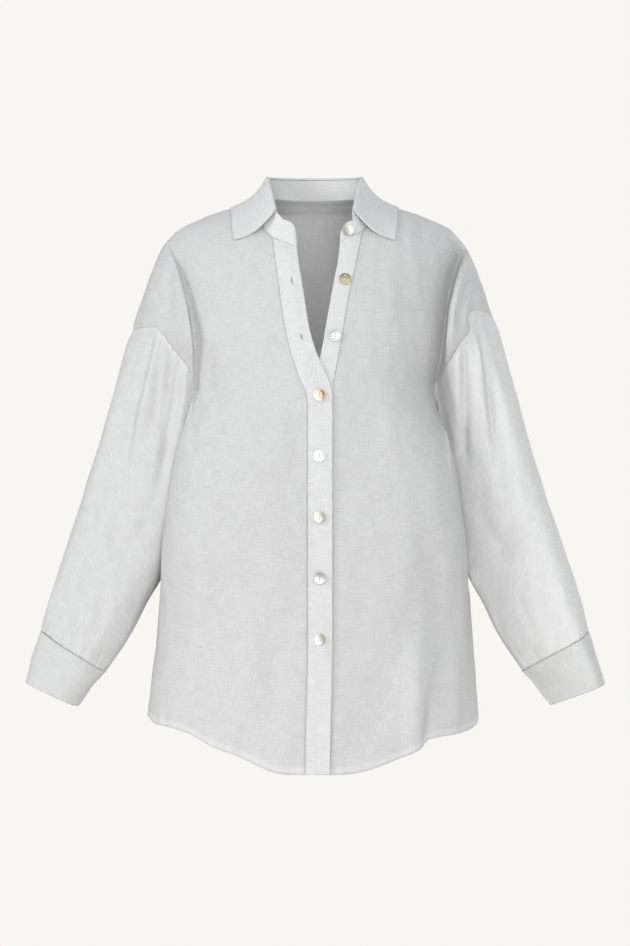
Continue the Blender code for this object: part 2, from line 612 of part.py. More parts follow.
def stand_top(side):
    """The stand's top edge at the neckline's points of one side, from the front end to centre back."""
    end = STAND_END[side]
    count_front = BAND_COLUMNS + 1
    spots = np.linspace(0, 1, count_front)
    knots = np.linspace(0, 1, len(end))
    end_x = smooth_lookup(spots, knots, [row.x for row in end[::-1]])
    end_z = smooth_lookup(spots, knots, [row.z for row in end[::-1]])
    tip = body_point(turn_at(side * end_x[0], end_z[0]), end_z[0], side)[1] - STAND_END_FORWARD
    end_y = tip + (STAND_TOP_BREAK.y - tip) * ease(spots)
    front = np.linspace(0, 1, NECK_STEPS + 1)[1:]
    brk, flank, rear = STAND_TOP_BREAK, STAND_TOP_SIDE, STAND_TOP_BACK
    swing = front * np.pi / 2
    front_x = brk.x + (flank.x - brk.x) * np.sin(swing)
    front_y = brk.y + (flank.y - brk.y) * front
    front_z = brk.z + (flank.z - brk.z) * np.sin(swing) ** STAND_TOP_FULLNESS
    back = np.linspace(0, 1, NECK_STEPS + 1)[1:] * np.pi / 2
    back_x, back_y = flank.x * np.cos(back), rear.y * np.sin(back)
    back_z = flank.z + (rear.z - flank.z) * np.sin(back)
    x = np.concatenate((end_x, side * front_x, side * back_x))
    y = np.concatenate((end_y, front_y, back_y))
    z = np.concatenate((end_z, front_z, back_z))
    return np.stack([x, y, z], -1)


def outward_from_neck(points):
    """Level directions away from the neck's middle, straight back at centre back."""
    flat = np.stack([points[:, 0] / STAND_TOP_SIDE.x, points[:, 1] / STAND_TOP_BACK.y, 0 * points[:, 0]], -1)
    return flat / np.linalg.norm(flat, axis=-1, keepdims=True)


def stand_grid(neckline):
    """The collar stand from the neckline's own points up to its top edge, and its normals."""
    right, left = stand_top(RIGHT), stand_top(LEFT)
    top = np.concatenate((right, left[::-1][1:]))
    outward = outward_from_neck(top)
    foot = neckline + SEAM_GAP * np.array([0, 0, 1]) + STAND_FOOT_OUT * outward
    up = np.linspace(0, 1, STAND_STEPS + 1)[:, None, None]
    points = foot * (1 - up) + (top + outward * DOUBLE_WALL / 2) * up
    return points, -grid_normals(points), top, outward


def grid_normals(points):
    """Unit normals of a grid, pointing up where its rows run outward and its columns from right to left."""
    across, along = np.gradient(points, axis=0), np.gradient(points, axis=1)
    normals = np.cross(along, across)
    return normals / np.linalg.norm(normals, axis=-1, keepdims=True)


def clear_of_body(points, side):
    """Moves points in front of the shoulders forward until the leaf's wall clears the fronts."""
    below = np.array([body_point(turn_at(s * p[0], p[2]), p[2], s)[1] for s, p in zip(side, points)])
    in_front = (points[:, 1] < LEAF_FRONT_Y) & (points[:, 2] < LEAF_FRONT_Z)
    forward = np.minimum(points[:, 1], below - LEAF_CLEARANCE - LEAF_WALL)
    points[:, 1] = np.where(in_front, forward, points[:, 1])
    return points


def leaf_grid(top, outward):
    """The collar leaf: it rolls over the stand's top edge and falls to its free edge on the shoulders."""
    first = BAND_COLUMNS + 1
    top, outward = top[first:-first], outward[first:-first]
    along = np.linspace(-1, 1, len(top))
    side = np.where(along < 0, RIGHT, LEFT)
    turn = np.radians(read(LEAF_EDGE, "along", "turn", np.abs(along)))
    edge_z = read(LEAF_EDGE, "along", "z", np.abs(along))
    spots = [with_normals(lambda a, b: body_point(a, b, s), t, z) for s, t, z in zip(side, turn, edge_z)]
    seats = np.array([point for point, _ in spots])
    away = np.array([normal for _, normal in spots]) * side[:, None]
    free = seats + (LEAF_CLEARANCE + LEAF_WALL) * away
    up = np.array([0, 0, 1.0])
    rows = []
    angles = np.linspace(np.pi, ROLL_END, ROLL_STEPS + 1)
    for angle in angles:
        middle = top + up * SEAM_GAP + outward * (ROLL_RADIUS - DOUBLE_WALL / 2)
        rows.append(middle + ROLL_RADIUS * (np.cos(angle) * outward + np.sin(angle) * up))
    start = rows[-1]
    front_part = ease((np.abs(along) - LEAF_SAG_START) / (1 - LEAF_SAG_START))[:, None]
    hug = LEAF_HUG * (1 - front_part) * np.abs(outward[:, :1])
    for share in np.linspace(0, 1, LEAF_STEPS + 1)[1:]:
        arch = np.sin(np.pi * share)
        inward = hug * (outward + up) + LEAF_SAG * front_part * up
        rows.append(clear_of_body(start + (free - start) * share - arch * inward, side))
    points = np.array(rows)
    normals = grid_normals(points)
    for row, angle in enumerate(angles):
        normals[row] = np.cos(angle) * outward + np.sin(angle) * up
    return points, normals


def button_mesh(look):
    """A shell button: a bevelled disc with a dished face and two holes, its back at the origin."""
    bpy.ops.mesh.primitive_cylinder_add(
        vertices=BUTTON_SIDES, radius=BUTTON_RADIUS * MM, depth=BUTTON_THICKNESS * MM,
        location=(0, 0, BUTTON_THICKNESS * MM / 2),
    )
    disc = bpy.context.object
    bpy.ops.object.transform_apply(location=True)
    shape = bmesh.new()
    shape.from_mesh(disc.data)
    face = max(shape.faces, key=lambda f: f.calc_center_median().z)
    bmesh.ops.inset_region(shape, faces=[face], thickness=BUTTON_RIM * MM, depth=0)
    bmesh.ops.inset_region(shape, faces=[face], thickness=BUTTON_RIM * MM, depth=-BUTTON_DISH * MM)
    shape.to_mesh(disc.data)
    shape.free()
    cutters = []
    for offset in (-HOLE_OFFSET, HOLE_OFFSET):
        bpy.ops.mesh.primitive_cylinder_add(
            vertices=HOLE_SIDES, radius=HOLE_RADIUS * MM, depth=4 * BUTTON_THICKNESS * MM,
            location=(0, offset * MM, 0),
        )
        cutter = bpy.context.object
        cut = disc.modifiers.new("hole", "BOOLEAN")
        cut.operation, cut.object = "DIFFERENCE", cutter
        cutters.append(cutter)
    mesh = bpy.data.meshes.new_from_object(disc.evaluated_get(bpy.context.evaluated_depsgraph_get()))
    for item in cutters + [disc]:
        bpy.data.objects.remove(item, do_unlink=True)
    mesh.materials.clear()
    mesh.materials.append(look)
    return mesh


def seat_button(name, mesh, place, normal, seat, collection):
    """Lays a button on the cloth, its holes one above the other."""
    z_axis = Vector(normal).normalized()
    x_axis = Vector((0, 0, 1)).cross(z_axis).normalized()
    y_axis = z_axis.cross(x_axis)
    button = bpy.data.objects.new(name, mesh)
    turn = Matrix((x_axis, y_axis, z_axis)).transposed().to_4x4()
    button.matrix_world = Matrix.Translation((Vector(place) + seat * z_axis) * MM) @ turn
    collection.objects.link(button)


def button_places(stand):
    """Points and normals under the buttons: the stand's left end, then down the bands."""
    points, normals = stand
    places = [(points[1, -2], normals[1, -2])]
    spots = [(line, LEFT) for line in OPEN_BUTTONS]
    heights = [FIRST_CLOSED_BUTTON_Z - k * BUTTON_PITCH for k in range(CLOSED_BUTTONS)]
    spots += [(Line(BUTTON_LINE_X, z), RIGHT) for z in heights]
    for line, side in spots:
        surface = lambda a, b, side=side: body_point(turn_at(side * a, b), b, side)
        places.append(with_normals(surface, np.array(float(line.x)), np.array(float(line.z))))
    return places


def new_material(name, look):
    material = bpy.data.materials.new(name)
    material.use_nodes = True
    inputs = material.node_tree.nodes["Principled BSDF"].inputs
    for field, value in zip(("Base Color", "Roughness", "Metallic"), look):
        inputs[field].default_value = value
    return material


def build_shirt():
    for item in list(bpy.data.objects):
        bpy.data.objects.remove(item, do_unlink=True)
    shirt = bpy.data.collections.new("linen_shirt")
    bpy.context.scene.collection.children.link(shirt)
    cloth = new_material("linen", CLOTH_LOOK)
    pearl = new_material("pearl_shell", PEARL_LOOK)

    bands = {side: band_grid(side) for side in (RIGHT, LEFT)}
    fronts = {side: front_panel(side) for side in (RIGHT, LEFT)}
    backs = {side: back_half(side) for side in (RIGHT, LEFT)}
    names = {RIGHT: "right", LEFT: "left"}
    for side in (RIGHT, LEFT):
        cloth_object(f"front_{names[side]}", [fronts[side]], PANEL_WALL, shirt, cloth)
        cloth_object(f"band_{names[side]}", [bands[side]], DOUBLE_WALL, shirt, cloth)
        loop, loop_normals = armhole_loop(fronts[side], backs[side])
        sleeve = sleeve_grid(side, loop, loop_normals)
        cloth_object(f"sleeve_{names[side]}", [sleeve], PANEL_WALL, shirt, cloth)
        cloth_object(f"cuff_{names[side]}", [cuff_grid(side, sleeve)], DOUBLE_WALL, shirt, cloth)
    mirrored = tuple(values[:, ::-1] for values in backs[LEFT])
    cloth_object("back", [backs[RIGHT], mirrored], PANEL_WALL, shirt, cloth)

    points, normals, top, outward = stand_grid(neckline_loop(bands, fronts, backs))
    cloth_object("collar_stand", [(points, normals)], DOUBLE_WALL, shirt, cloth)
    cloth_object("collar_leaf", [leaf_grid(top, outward)], LEAF_WALL, shirt, cloth)

    disc = button_mesh(pearl)
    for number, (place, normal) in enumerate(button_places((points, normals)), start=1):
        seat = STAND_BUTTON_SEAT if number == 1 else BUTTON_SEAT
        seat_button(f"button_{number}", disc, place, normal, seat, shirt)


build_shirt()
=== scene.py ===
from collections import namedtuple

import bpy
import numpy as np
from mathutils import Matrix, Vector


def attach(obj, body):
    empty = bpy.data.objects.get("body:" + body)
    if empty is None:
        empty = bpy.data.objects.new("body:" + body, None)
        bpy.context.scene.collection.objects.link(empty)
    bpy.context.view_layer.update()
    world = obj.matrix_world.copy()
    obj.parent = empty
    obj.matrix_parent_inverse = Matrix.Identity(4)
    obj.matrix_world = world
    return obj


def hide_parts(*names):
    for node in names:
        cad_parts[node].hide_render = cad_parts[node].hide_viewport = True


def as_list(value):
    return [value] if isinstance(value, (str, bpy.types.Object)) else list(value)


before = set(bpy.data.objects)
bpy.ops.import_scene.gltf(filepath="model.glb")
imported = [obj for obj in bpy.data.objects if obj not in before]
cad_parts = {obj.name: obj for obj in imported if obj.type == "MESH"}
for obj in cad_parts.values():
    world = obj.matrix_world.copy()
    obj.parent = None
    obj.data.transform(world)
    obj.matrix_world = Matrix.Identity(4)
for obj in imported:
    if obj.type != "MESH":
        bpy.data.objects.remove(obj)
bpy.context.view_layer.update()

# ---- The two fronts ----
# Each front is one layer of white linen, cut from the shoulder seam and the neckline to the curved hem. The
# fronts are sewn to the back at the shoulders and down the sides, and hang in soft troughs beside the arms.
# Sizes are millimetres until a mesh is written. "Right" and "left" in names are the shirt's own sides.
MM = 0.001
RIGHT, LEFT = -1, 1
FRONT, BACK = -1, 1
SIDE_NAMES = {RIGHT: "right", LEFT: "left"}
CLOTH = 0.5
DOUBLE_CLOTH = 1.0
WELD_DISTANCE = 0.01

HOLE_ROWS = 98
SIDE_ROWS = 112
NECK_ROWS = 35
PANEL_COLUMNS = 84

Section = namedtuple("Section", "z half_width front_depth back_depth squareness")
BODY = [Section(*row) for row in (
    (10, 50, 5, 53, 2.0),
    (3, 62, 12, 57, 2.0),
    (-3, 79, 20, 62, 2.0),
    (-9, 99, 29, 66, 2.0),
    (-15, 121, 38, 71, 2.0),
    (-26, 149, 50, 77, 2.0),
    (-36, 170, 60, 82, 2.0),
    (-46, 182, 68, 86, 2.0),
    (-61, 194, 78, 91, 2.0),
    (-77, 202, 86, 95, 2.0),
    (-102, 212, 95, 100, 2.0),
    (-128, 221, 102, 104, 2.0),
    (-154, 229, 107, 107, 2.0),
    (-168, 231, 109, 109, 2.0),
    (-180, 223, 111, 110, 2.0),
    (-200, 206, 114, 111, 2.0),
    (-220, 186, 116, 112, 2.05),
    (-240, 173, 118, 112, 2.2),
    (-260, 169, 119, 113, 2.5),
    (-280, 170, 119, 113, 2.9),
    (-310, 176, 120, 113, 3.3),
    (-350, 183, 121, 114, 3.5),
    (-400, 190, 121, 114, 3.5),
    (-450, 196, 121, 114, 3.2),
    (-500, 197.5, 121, 114, 2.8),
    (-560, 202, 122, 114, 2.4),
    (-660, 210.5, 123, 115, 2.4),
    (-730, 214, 124, 116, 2.4),
)]
Armhole = namedtuple("Armhole", "around turn z")
ARMHOLE = {
    RIGHT: (
        Armhole(0, 90, -168),
        Armhole(20, 75.5, -165),
        Armhole(42, 61, -165),
        Armhole(60, 57.5, -175),
        Armhole(90, 58.5, -198),
        Armhole(115, 59.5, -220),
        Armhole(138, 62.5, -240),
        Armhole(160, 72.5, -261),
        Armhole(180, 90, -275),
    ),
    LEFT: (
        Armhole(0, 90, -152),
        Armhole(20, 75.5, -145),
        Armhole(42, 65.5, -143),
        Armhole(60, 59.5, -156),
        Armhole(90, 60, -188),
        Armhole(115, 63, -217),
        Armhole(138, 67, -239),
        Armhole(160, 75, -261),
        Armhole(180, 90, -275),
    ),
}
UNDERARM_Z = ARMHOLE[RIGHT][-1].z
SHOULDER_END_Z = ARMHOLE[RIGHT][0].z

# The sleeve's rings stand here because the body's sides are pressed in beside the arms.
Ring = namedtuple("Ring", "out_x out_z in_x in_z y depth")
RIGHT_SLEEVE = [Ring(*row) for row in (
    (231, -168, 152, -275, 0, 58),
    (239, -184, 151, -300, 2, 59),
    (248, -214, 150, -325, 5, 59),
    (263, -268, 152, -350, 8, 57),
    (283, -335, 161, -395, 9, 54),
    (301, -392, 179, -440, 8, 52),
    (317, -440, 196, -481, 5, 50),
    (333, -489, 215, -515, 0, 47),
    (343, -526, 237, -559, -5, 44),
    (348, -551, 266, -602, -8, 39),
)]
LEFT_SLEEVE_OUTWARD = (10, 11, 11, 9, 5, 2, 0, 0, 0, 0)
SLEEVE = {
    RIGHT: RIGHT_SLEEVE,
    LEFT: [ring._replace(in_x=ring.in_x + extra) for ring, extra in zip(RIGHT_SLEEVE, LEFT_SLEEVE_OUTWARD)],
}
SLEEVE_SQUARENESS = 2.7
ARM_CLEARANCE = 1.8
UNDERARM_CLEARANCE = 1.2
UNDERARM_SPREAD = 30.0
PRESS_SOFTNESS = 5.0
PRESS_END_SLOPE = 60.0
PRESS_LIFTED = 300.0
PRESS_LIFT_START = 12.0
PRESS_LIFT_RUN = 60.0

Line = namedtuple("Line", "x z")
SHOULDER_NECK = Line(62, 3)
NECKLINE = {
    RIGHT: (Line(-22, -66), Line(-36, -62), Line(-53, -53), Line(-65, -40), Line(-70, -24), Line(-69, -8)),
    LEFT: (Line(32, -59), Line(46, -56), Line(60, -45), Line(68, -34), Line(71, -20), Line(69, -7)),
}
BAND_SEAM = {
    RIGHT: (Line(-53, -53), Line(-47, -95), Line(-37, -165), Line(-29, -200), Line(-18, -233),
            Line(-9, -254), Line(-8, -275), Line(-8, -730)),
    LEFT: (Line(60, -45), Line(52, -86), Line(44, -121), Line(35.5, -171), Line(29, -209), Line(22.5, -244),
           Line(21, -275), Line(21, -730)),
}
OVERLAP_LIFT = 2.4
OVERLAP_FADE = 70.0
OVERLAP_BEYOND_SEAM = 4.0
OVERLAP_TOP_Z = -40
OVERLAP_TOP_FADE = 60.0
HEM = {
    RIGHT: (Line(0, -724), Line(30, -724), Line(50, -721.5), Line(66, -715), Line(94, -702.5),
            Line(130, -690), Line(155, -676.5), Line(176, -670), Line(202, -666), Line(216, -657)),
    LEFT: (Line(0, -724), Line(30, -724), Line(50, -722.5), Line(66, -719), Line(102, -706.5),
           Line(131, -694), Line(144, -682), Line(190, -675), Line(206, -668), Line(216, -657)),
}
HEM_FRONT_Z = HEM[RIGHT][0].z
HEM_SIDE_Z = HEM[RIGHT][-1].z
WAIST_ROW_Z = -290
HEM_SWAY = -3
HEM_SWAY_START = -560

# Folds: the path is (x, z) on the garment, "rise" is positive for a ridge and negative for a trough, and
# "left" and "right" are how far it reaches on each side of its path as seen from the front. A low "power"
# makes a crease.
Fold = namedtuple("Fold", "face path rise left right power", defaults=(2,))


def folds_on(face, *rows):
    """Folds of one face, from rows of path, rise, left, right and, for a crease, power."""
    return [Fold(face, *row) for row in rows]


BODY_FOLDS = folds_on(
    FRONT,
    # beside the right sleeve: the cloth toward the sleeve stands forward, over a soft trough
    (((-205, -14), (-193, -42), (-183, -64), (-174, -84), (-166, -108), (-159, -138), (-154, -166),
      (-151, -194), (-150, -224), (-151, -258), (-153, -320)), -15, 4, 38, 1.3),
    (((-200, -66), (-190, -88), (-180, -112), (-171, -138), (-164, -166), (-159, -196),
      (-157, -220)), 9, 26, 8),
    (((-190, -96), (-187, -126), (-186, -165)), -4, 5, 6),
    (((-176, -108), (-171, -140), (-168, -170)), -3.5, 4, 7),
    (((-205, -112), (-199, -132), (-193, -155)), -3, 4, 5),
    (((-131, -190), (-129, -232), (-124, -270)), -3, 5, 6),
    (((-137, -225), (-133, -250), (-136, -285), (-143, -330)), -4, 5, 12),
    (((-113, -240), (-116, -290), (-120, -360)), -2, 9, 9),
    # beside the left sleeve, where the trough is deeper and dark
    (((212, -14), (203, -42), (194, -66), (186, -88), (177, -112), (171, -142), (167, -176),
      (164, -208), (162, -240), (163, -275), (168, -315)), -44, 27, 4, 1.2),
    (((212, -72), (203, -92), (193, -114), (186, -142), (181, -172), (177, -200), (174, -222)),
     15, 8, 24),
    (((207, -96), (196, -120), (190, -148), (187, -176)), -8, 7, 4),
    (((210, -106), (205, -125), (203, -146)), -4, 4, 4),
    (((178, -138), (174, -172), (171, -205)), -3, 4, 4),
    (((136, -150), (130, -210), (126, -280)), -4, 22, 16),
    # down the sides
    (((-139, -240), (-134, -262), (-138, -300), (-152, -345)), 3, 7, 9),
    (((-138, -370), (-142, -440), (-150, -520), (-158, -600), (-160, -690)), 5, 20, 20),
    (((156, -222), (161, -268), (168, -305), (182, -365), (190, -430), (193, -510)), -6, 26, 7),
    (((170, -262), (176, -310), (190, -370), (197, -440), (199, -500)), 4, 6, 8),
    (((140, -400), (150, -470), (158, -540), (163, -640)), -5, 18, 18),
    (((176, -560), (180, -620), (184, -690)), 4, 14, 9),
    (((118, -560), (124, -620), (128, -700)), 6, 16, 16),
    (((132, -540), (134, -630), (134, -720)), 8, 16, 40),
    (((-70, -480), (-78, -560), (-84, -640), (-86, -705)), 4, 20, 20),
    # at the hem
    (((-132, -650), (-130, -675), (-134, -700)), -3.5, 9, 7),
    (((-113, -672), (-114, -690), (-112, -712)), -2.6, 5, 6),
    (((-93, -676), (-91, -695), (-88, -715)), -2.6, 6, 4),
    (((-30, -640), (-34, -680), (-36, -722)), 2, 14, 14),
    (((60, -560), (66, -640), (70, -715)), -2, 16, 16),
    (((147, -612), (144, -645), (142, -672), (141, -704)), -10, 4, 18),
    # broad, shallow waves down the middle
    (((-96, -120), (-92, -210), (-100, -330)), -1.6, 26, 20),
    (((90, -110), (96, -200), (92, -320)), 1.6, 24, 20),
    (((50, -300), (60, -400), (55, -500)), -1.2, 22, 26),
    (((-60, -290), (-52, -400), (-56, -470)), 1.2, 22, 24),
    (((100, -340), (108, -440), (112, -540)), 1.8, 20, 16),
) + folds_on(
    BACK,
    (((-186, -64), (-170, -100), (-160, -140), (-150, -190), (-144, -240)), -14, 8, 20),
    (((182, -66), (168, -100), (158, -142), (150, -194), (142, -250)), -13, 20, 8),
    (((-196, -90), (-188, -120), (-182, -160)), 3, 9, 9),
    (((195, -92), (187, -124), (180, -165)), 3, 9, 9),
    (((-110, -300), (-118, -400), (-124, -520), (-130, -690)), 9, 16, 24),
    (((104, -280), (112, -400), (122, -520), (130, -690)), 9, 26, 15),
    (((40, -340), (48, -460), (56, -580), (60, -700)), -9, 14, 24),
    (((-38, -380), (-46, -480), (-50, -580), (-54, -700)), -8, 22, 13),
    (((2, -420), (6, -520), (4, -640)), 5, 14, 20),
    (((-76, -180), (-84, -260), (-80, -360)), -5, 13, 22),
    (((78, -160), (82, -250), (74, -350)), -5, 24, 13),
    (((-140, -560), (-146, -630), (-150, -690)), -5, 8, 9),
    (((96, -600), (94, -650), (98, -705)), -5, 7, 10),
)
# The flap beside each sleeve hangs over its trough: "rise" is how far its edge reaches toward the middle.
FLAPS = {
    RIGHT: folds_on(
        FRONT,
        (((-202, -44), (-193, -64), (-184, -84), (-176, -108), (-169, -138), (-164, -166), (-161, -194),
          (-160, -222), (-160, -246)), 8, 24, 5),
    ),
    LEFT: folds_on(
        FRONT,
        (((214, -30), (205, -58), (195, -88), (187, -112), (180, -142), (176, -176), (173, -208),
          (171, -240)), 9, 5, 26),
    ),
}
FOLD_END_RUN = 0.3
FOLD_END_SHARE = 0.2
FOLD_FACE_FADE = 0.35
FOLD_SIDEWAYS = 0.12

# Fine, uneven ripples of washed linen: waves per metre across and down, height, and start.
Ripple = namedtuple("Ripple", "across down height start")
RIPPLES = (
    Ripple(9, 3.1, 0.5, 0.4), Ripple(14, -5.2, 0.4, 1.9), Ripple(23, 4.3, 0.28, 3.0),
    Ripple(31, -2.2, 0.2, 5.1), Ripple(6, 12, 0.3, 2.2), Ripple(-11, 19, 0.16, 0.9),
    Ripple(47, 9, 0.1, 4.4), Ripple(38, -16, 0.1, 1.3),
)


def smooth_lookup(at, knots, values):
    """Reads a short table along a smooth curve that never overshoots its rows."""
    knots, values = np.asarray(knots, float), np.asarray(values, float)
    if knots[0] > knots[-1]:
        knots, values = knots[::-1], values[::-1]
    steps = np.diff(knots)
    rises = np.diff(values) / steps
    before, after = rises[:-1], rises[1:]
    same_way = before * after > 0
    total = np.where(same_way, before + after, 1.0)
    inner = np.where(same_way, 2 * before * after / total, 0.0)
    slopes = np.concatenate((rises[:1], inner, rises[-1:]))
    at = np.clip(at, knots[0], knots[-1])
    row = np.clip(np.searchsorted(knots, at, side="right") - 1, 0, len(steps) - 1)
    f = (at - knots[row]) / steps[row]
    rise = values[row + 1] - values[row]
    start, end = slopes[row] * steps[row], slopes[row + 1] * steps[row]
    return values[row] + f * start + f * f * (3 * rise - 2 * start - end) + f**3 * (start + end - 2 * rise)


def read(table, key, column, at):
    """One column of a table of named rows, read at a value of its key column."""
    return smooth_lookup(at, [getattr(row, key) for row in table], [getattr(row, column) for row in table])


def ease(f):
    """0 to 1 with level ends."""
    f = np.clip(f, 0, 1)
    return f * f * (3 - 2 * f)


def fold_relief(x, z, y_face, folds):
    """How far a set of folds lifts the cloth at points seen at (x, z) on the front or back face."""
    lift = np.zeros(np.shape(x))
    for fold in folds:
        path = np.array(fold.path, float)
        lengths = np.hypot(*np.diff(path, axis=0).T)
        starts = np.concatenate(([0], np.cumsum(lengths)))
        nearest, along, reach = np.full(np.shape(x), 1e9), np.zeros(np.shape(x)), np.ones(np.shape(x))
        for k, length in enumerate(lengths):
            step = (path[k + 1] - path[k]) / length
            from_x, from_z = x - path[k, 0], z - path[k, 1]
            run = np.clip(from_x * step[0] + from_z * step[1], 0, length)
            distance = np.hypot(from_x - run * step[0], from_z - run * step[1])
            to_right = ease((step[0] * from_z - step[1] * from_x) / 6 + 0.5)
            closer = distance < nearest
            nearest = np.where(closer, distance, nearest)
            along = np.where(closer, (starts[k] + run) / starts[-1], along)
            reach = np.where(closer, fold.left + (fold.right - fold.left) * to_right, reach)
        taper = ease(along / FOLD_END_RUN) * ease((1 - along) / FOLD_END_RUN)
        taper = FOLD_END_SHARE + (1 - FOLD_END_SHARE) * taper
        on_face = ease(fold.face * y_face / FOLD_FACE_FADE)
        lift = lift + fold.rise * np.exp(-((nearest / reach) ** fold.power)) * taper * on_face
    return lift


def ripple_relief(across, down):
    """The height of the fine ripples at a place measured across and down the cloth."""
    waves = [
        ripple.height * np.sin(2 * np.pi * MM * (ripple.across * across + ripple.down * down) + ripple.start)
        for ripple in RIPPLES
    ]
    return sum(waves)


def sleeve_inside(y, z, side):
    """The sleeve's inner side at one height, which the body's side stays clear of."""
    rings = SLEEVE[side]
    inner = read(rings, "in_z", "in_x", z)
    outer = read(rings, "out_z", "out_x", z)
    below = ease((UNDERARM_Z - z) / UNDERARM_SPREAD)
    margin = UNDERARM_CLEARANCE + (ARM_CLEARANCE - UNDERARM_CLEARANCE) * below
    across = (y - read(rings, "in_z", "y", z)) / (read(rings, "in_z", "depth", z) + margin)
    middle, half = (inner + outer) / 2, (outer - inner) / 2 + margin
    bulge = np.clip(1 - np.abs(across) ** SLEEVE_SQUARENESS, 0, 1) ** (1 / SLEEVE_SQUARENESS)
    beyond = PRESS_END_SLOPE * np.clip(np.abs(across) - 1, 0, 2)
    above = PRESS_LIFTED * ease((z - UNDERARM_Z - PRESS_LIFT_START) / PRESS_LIFT_RUN)
    return middle - half * bulge + beyond + above


def body_point(turn, z, side, folds=BODY_FOLDS, rippled=1.0):
    """A point of the body's cloth: "turn" runs from centre front, 0, to centre back, pi."""
    width, square = read(BODY, "z", "half_width", z), read(BODY, "z", "squareness", z)
    sine, cosine = np.sin(turn), np.cos(turn)
    reach = (np.abs(sine) ** square + np.abs(cosine) ** square) ** (-1 / square)
    depth = np.where(cosine > 0, read(BODY, "z", "front_depth", z), read(BODY, "z", "back_depth", z))
    x, y = width * reach * sine, -depth * reach * cosine
    limit = sleeve_inside(y, z, side)
    x = np.where(x > 0, x - PRESS_SOFTNESS * np.log1p(np.exp((x - limit) / PRESS_SOFTNESS)), x)
    lift = fold_relief(side * x, z, y / depth, folds)
    lift = lift + rippled * ripple_relief(side * width * np.minimum(turn, np.pi - turn), z)
    if side == RIGHT:
        near_band = 1 - ease((x + BAND_SEAM[RIGHT][-1].x - OVERLAP_BEYOND_SEAM) / OVERLAP_FADE)
        lapped = near_band * ease((OVERLAP_TOP_Z - z) / OVERLAP_TOP_FADE)
        y = y - np.where(cosine > 0, OVERLAP_LIFT * lapped, 0)
    outward = np.stack([FOLD_SIDEWAYS * side * sine / width, -cosine / depth, np.zeros_like(x)], -1)
    outward /= np.linalg.norm(outward, axis=-1, keepdims=True)
    sway = HEM_SWAY * ease((HEM_SWAY_START - z) / (HEM_SWAY_START - HEM_FRONT_Z))
    if folds:
        x = x - fold_relief(side * x, z, y / depth, FLAPS[side])
    return np.stack([side * x + sway, y, z + 0 * x], -1) + outward * lift[..., None]


def turn_at(x, z):
    """The turn at which the body's surface is seen at x from the front."""
    square = read(BODY, "z", "squareness", z)
    share = np.clip(np.abs(x) / read(BODY, "z", "half_width", z), 0, 0.9999) ** square
    return np.sign(x) * np.arctan((share / (1 - share)) ** (1 / square))


def grid_normals(points, middle=(0, 0)):
    """Unit normals of a grid, turned to point away from an upright line through the middle."""
    normals = np.cross(np.gradient(points, axis=0), np.gradient(points, axis=1))
    normals /= np.maximum(np.linalg.norm(normals, axis=-1, keepdims=True), 1e-9)
    away = points[..., :2] - np.array(middle)
    facing = (normals[..., :2] * away).sum()
    return normals if facing > 0 else -normals


def lengths_along(points):
    """How far each point lies from the first one, down the first axis of a grid."""
    steps = np.linalg.norm(np.diff(points, axis=0), axis=-1)
    return np.concatenate((np.zeros((1,) + steps.shape[1:]), np.cumsum(steps, axis=0)))


def lengths_across(points):
    """How far each point lies from the first one, along the second axis of a grid."""
    return lengths_along(turned_over(points)).T


def turned_over(grid):
    """A grid with its columns as rows, so that its side edge comes first."""
    return grid.transpose(1, 0, 2)


Pucker = namedtuple("Pucker", "depth reach pitch")


def pucker(points, normals, size, start):
    """Draws up the cloth in small uneven waves along a grid's first row, fading away from it."""
    along = lengths_along(points[0]) / size.pitch
    away = lengths_along(points) / size.reach
    wave = np.sin(2 * np.pi * along + 1.7 * np.sin(along * 0.9 + start) + start)
    wave = wave * (0.6 + 0.4 * np.sin(along * 0.37 + 2 * start))
    points += (size.depth * wave[None] * np.exp(-(away**2)))[..., None] * normals


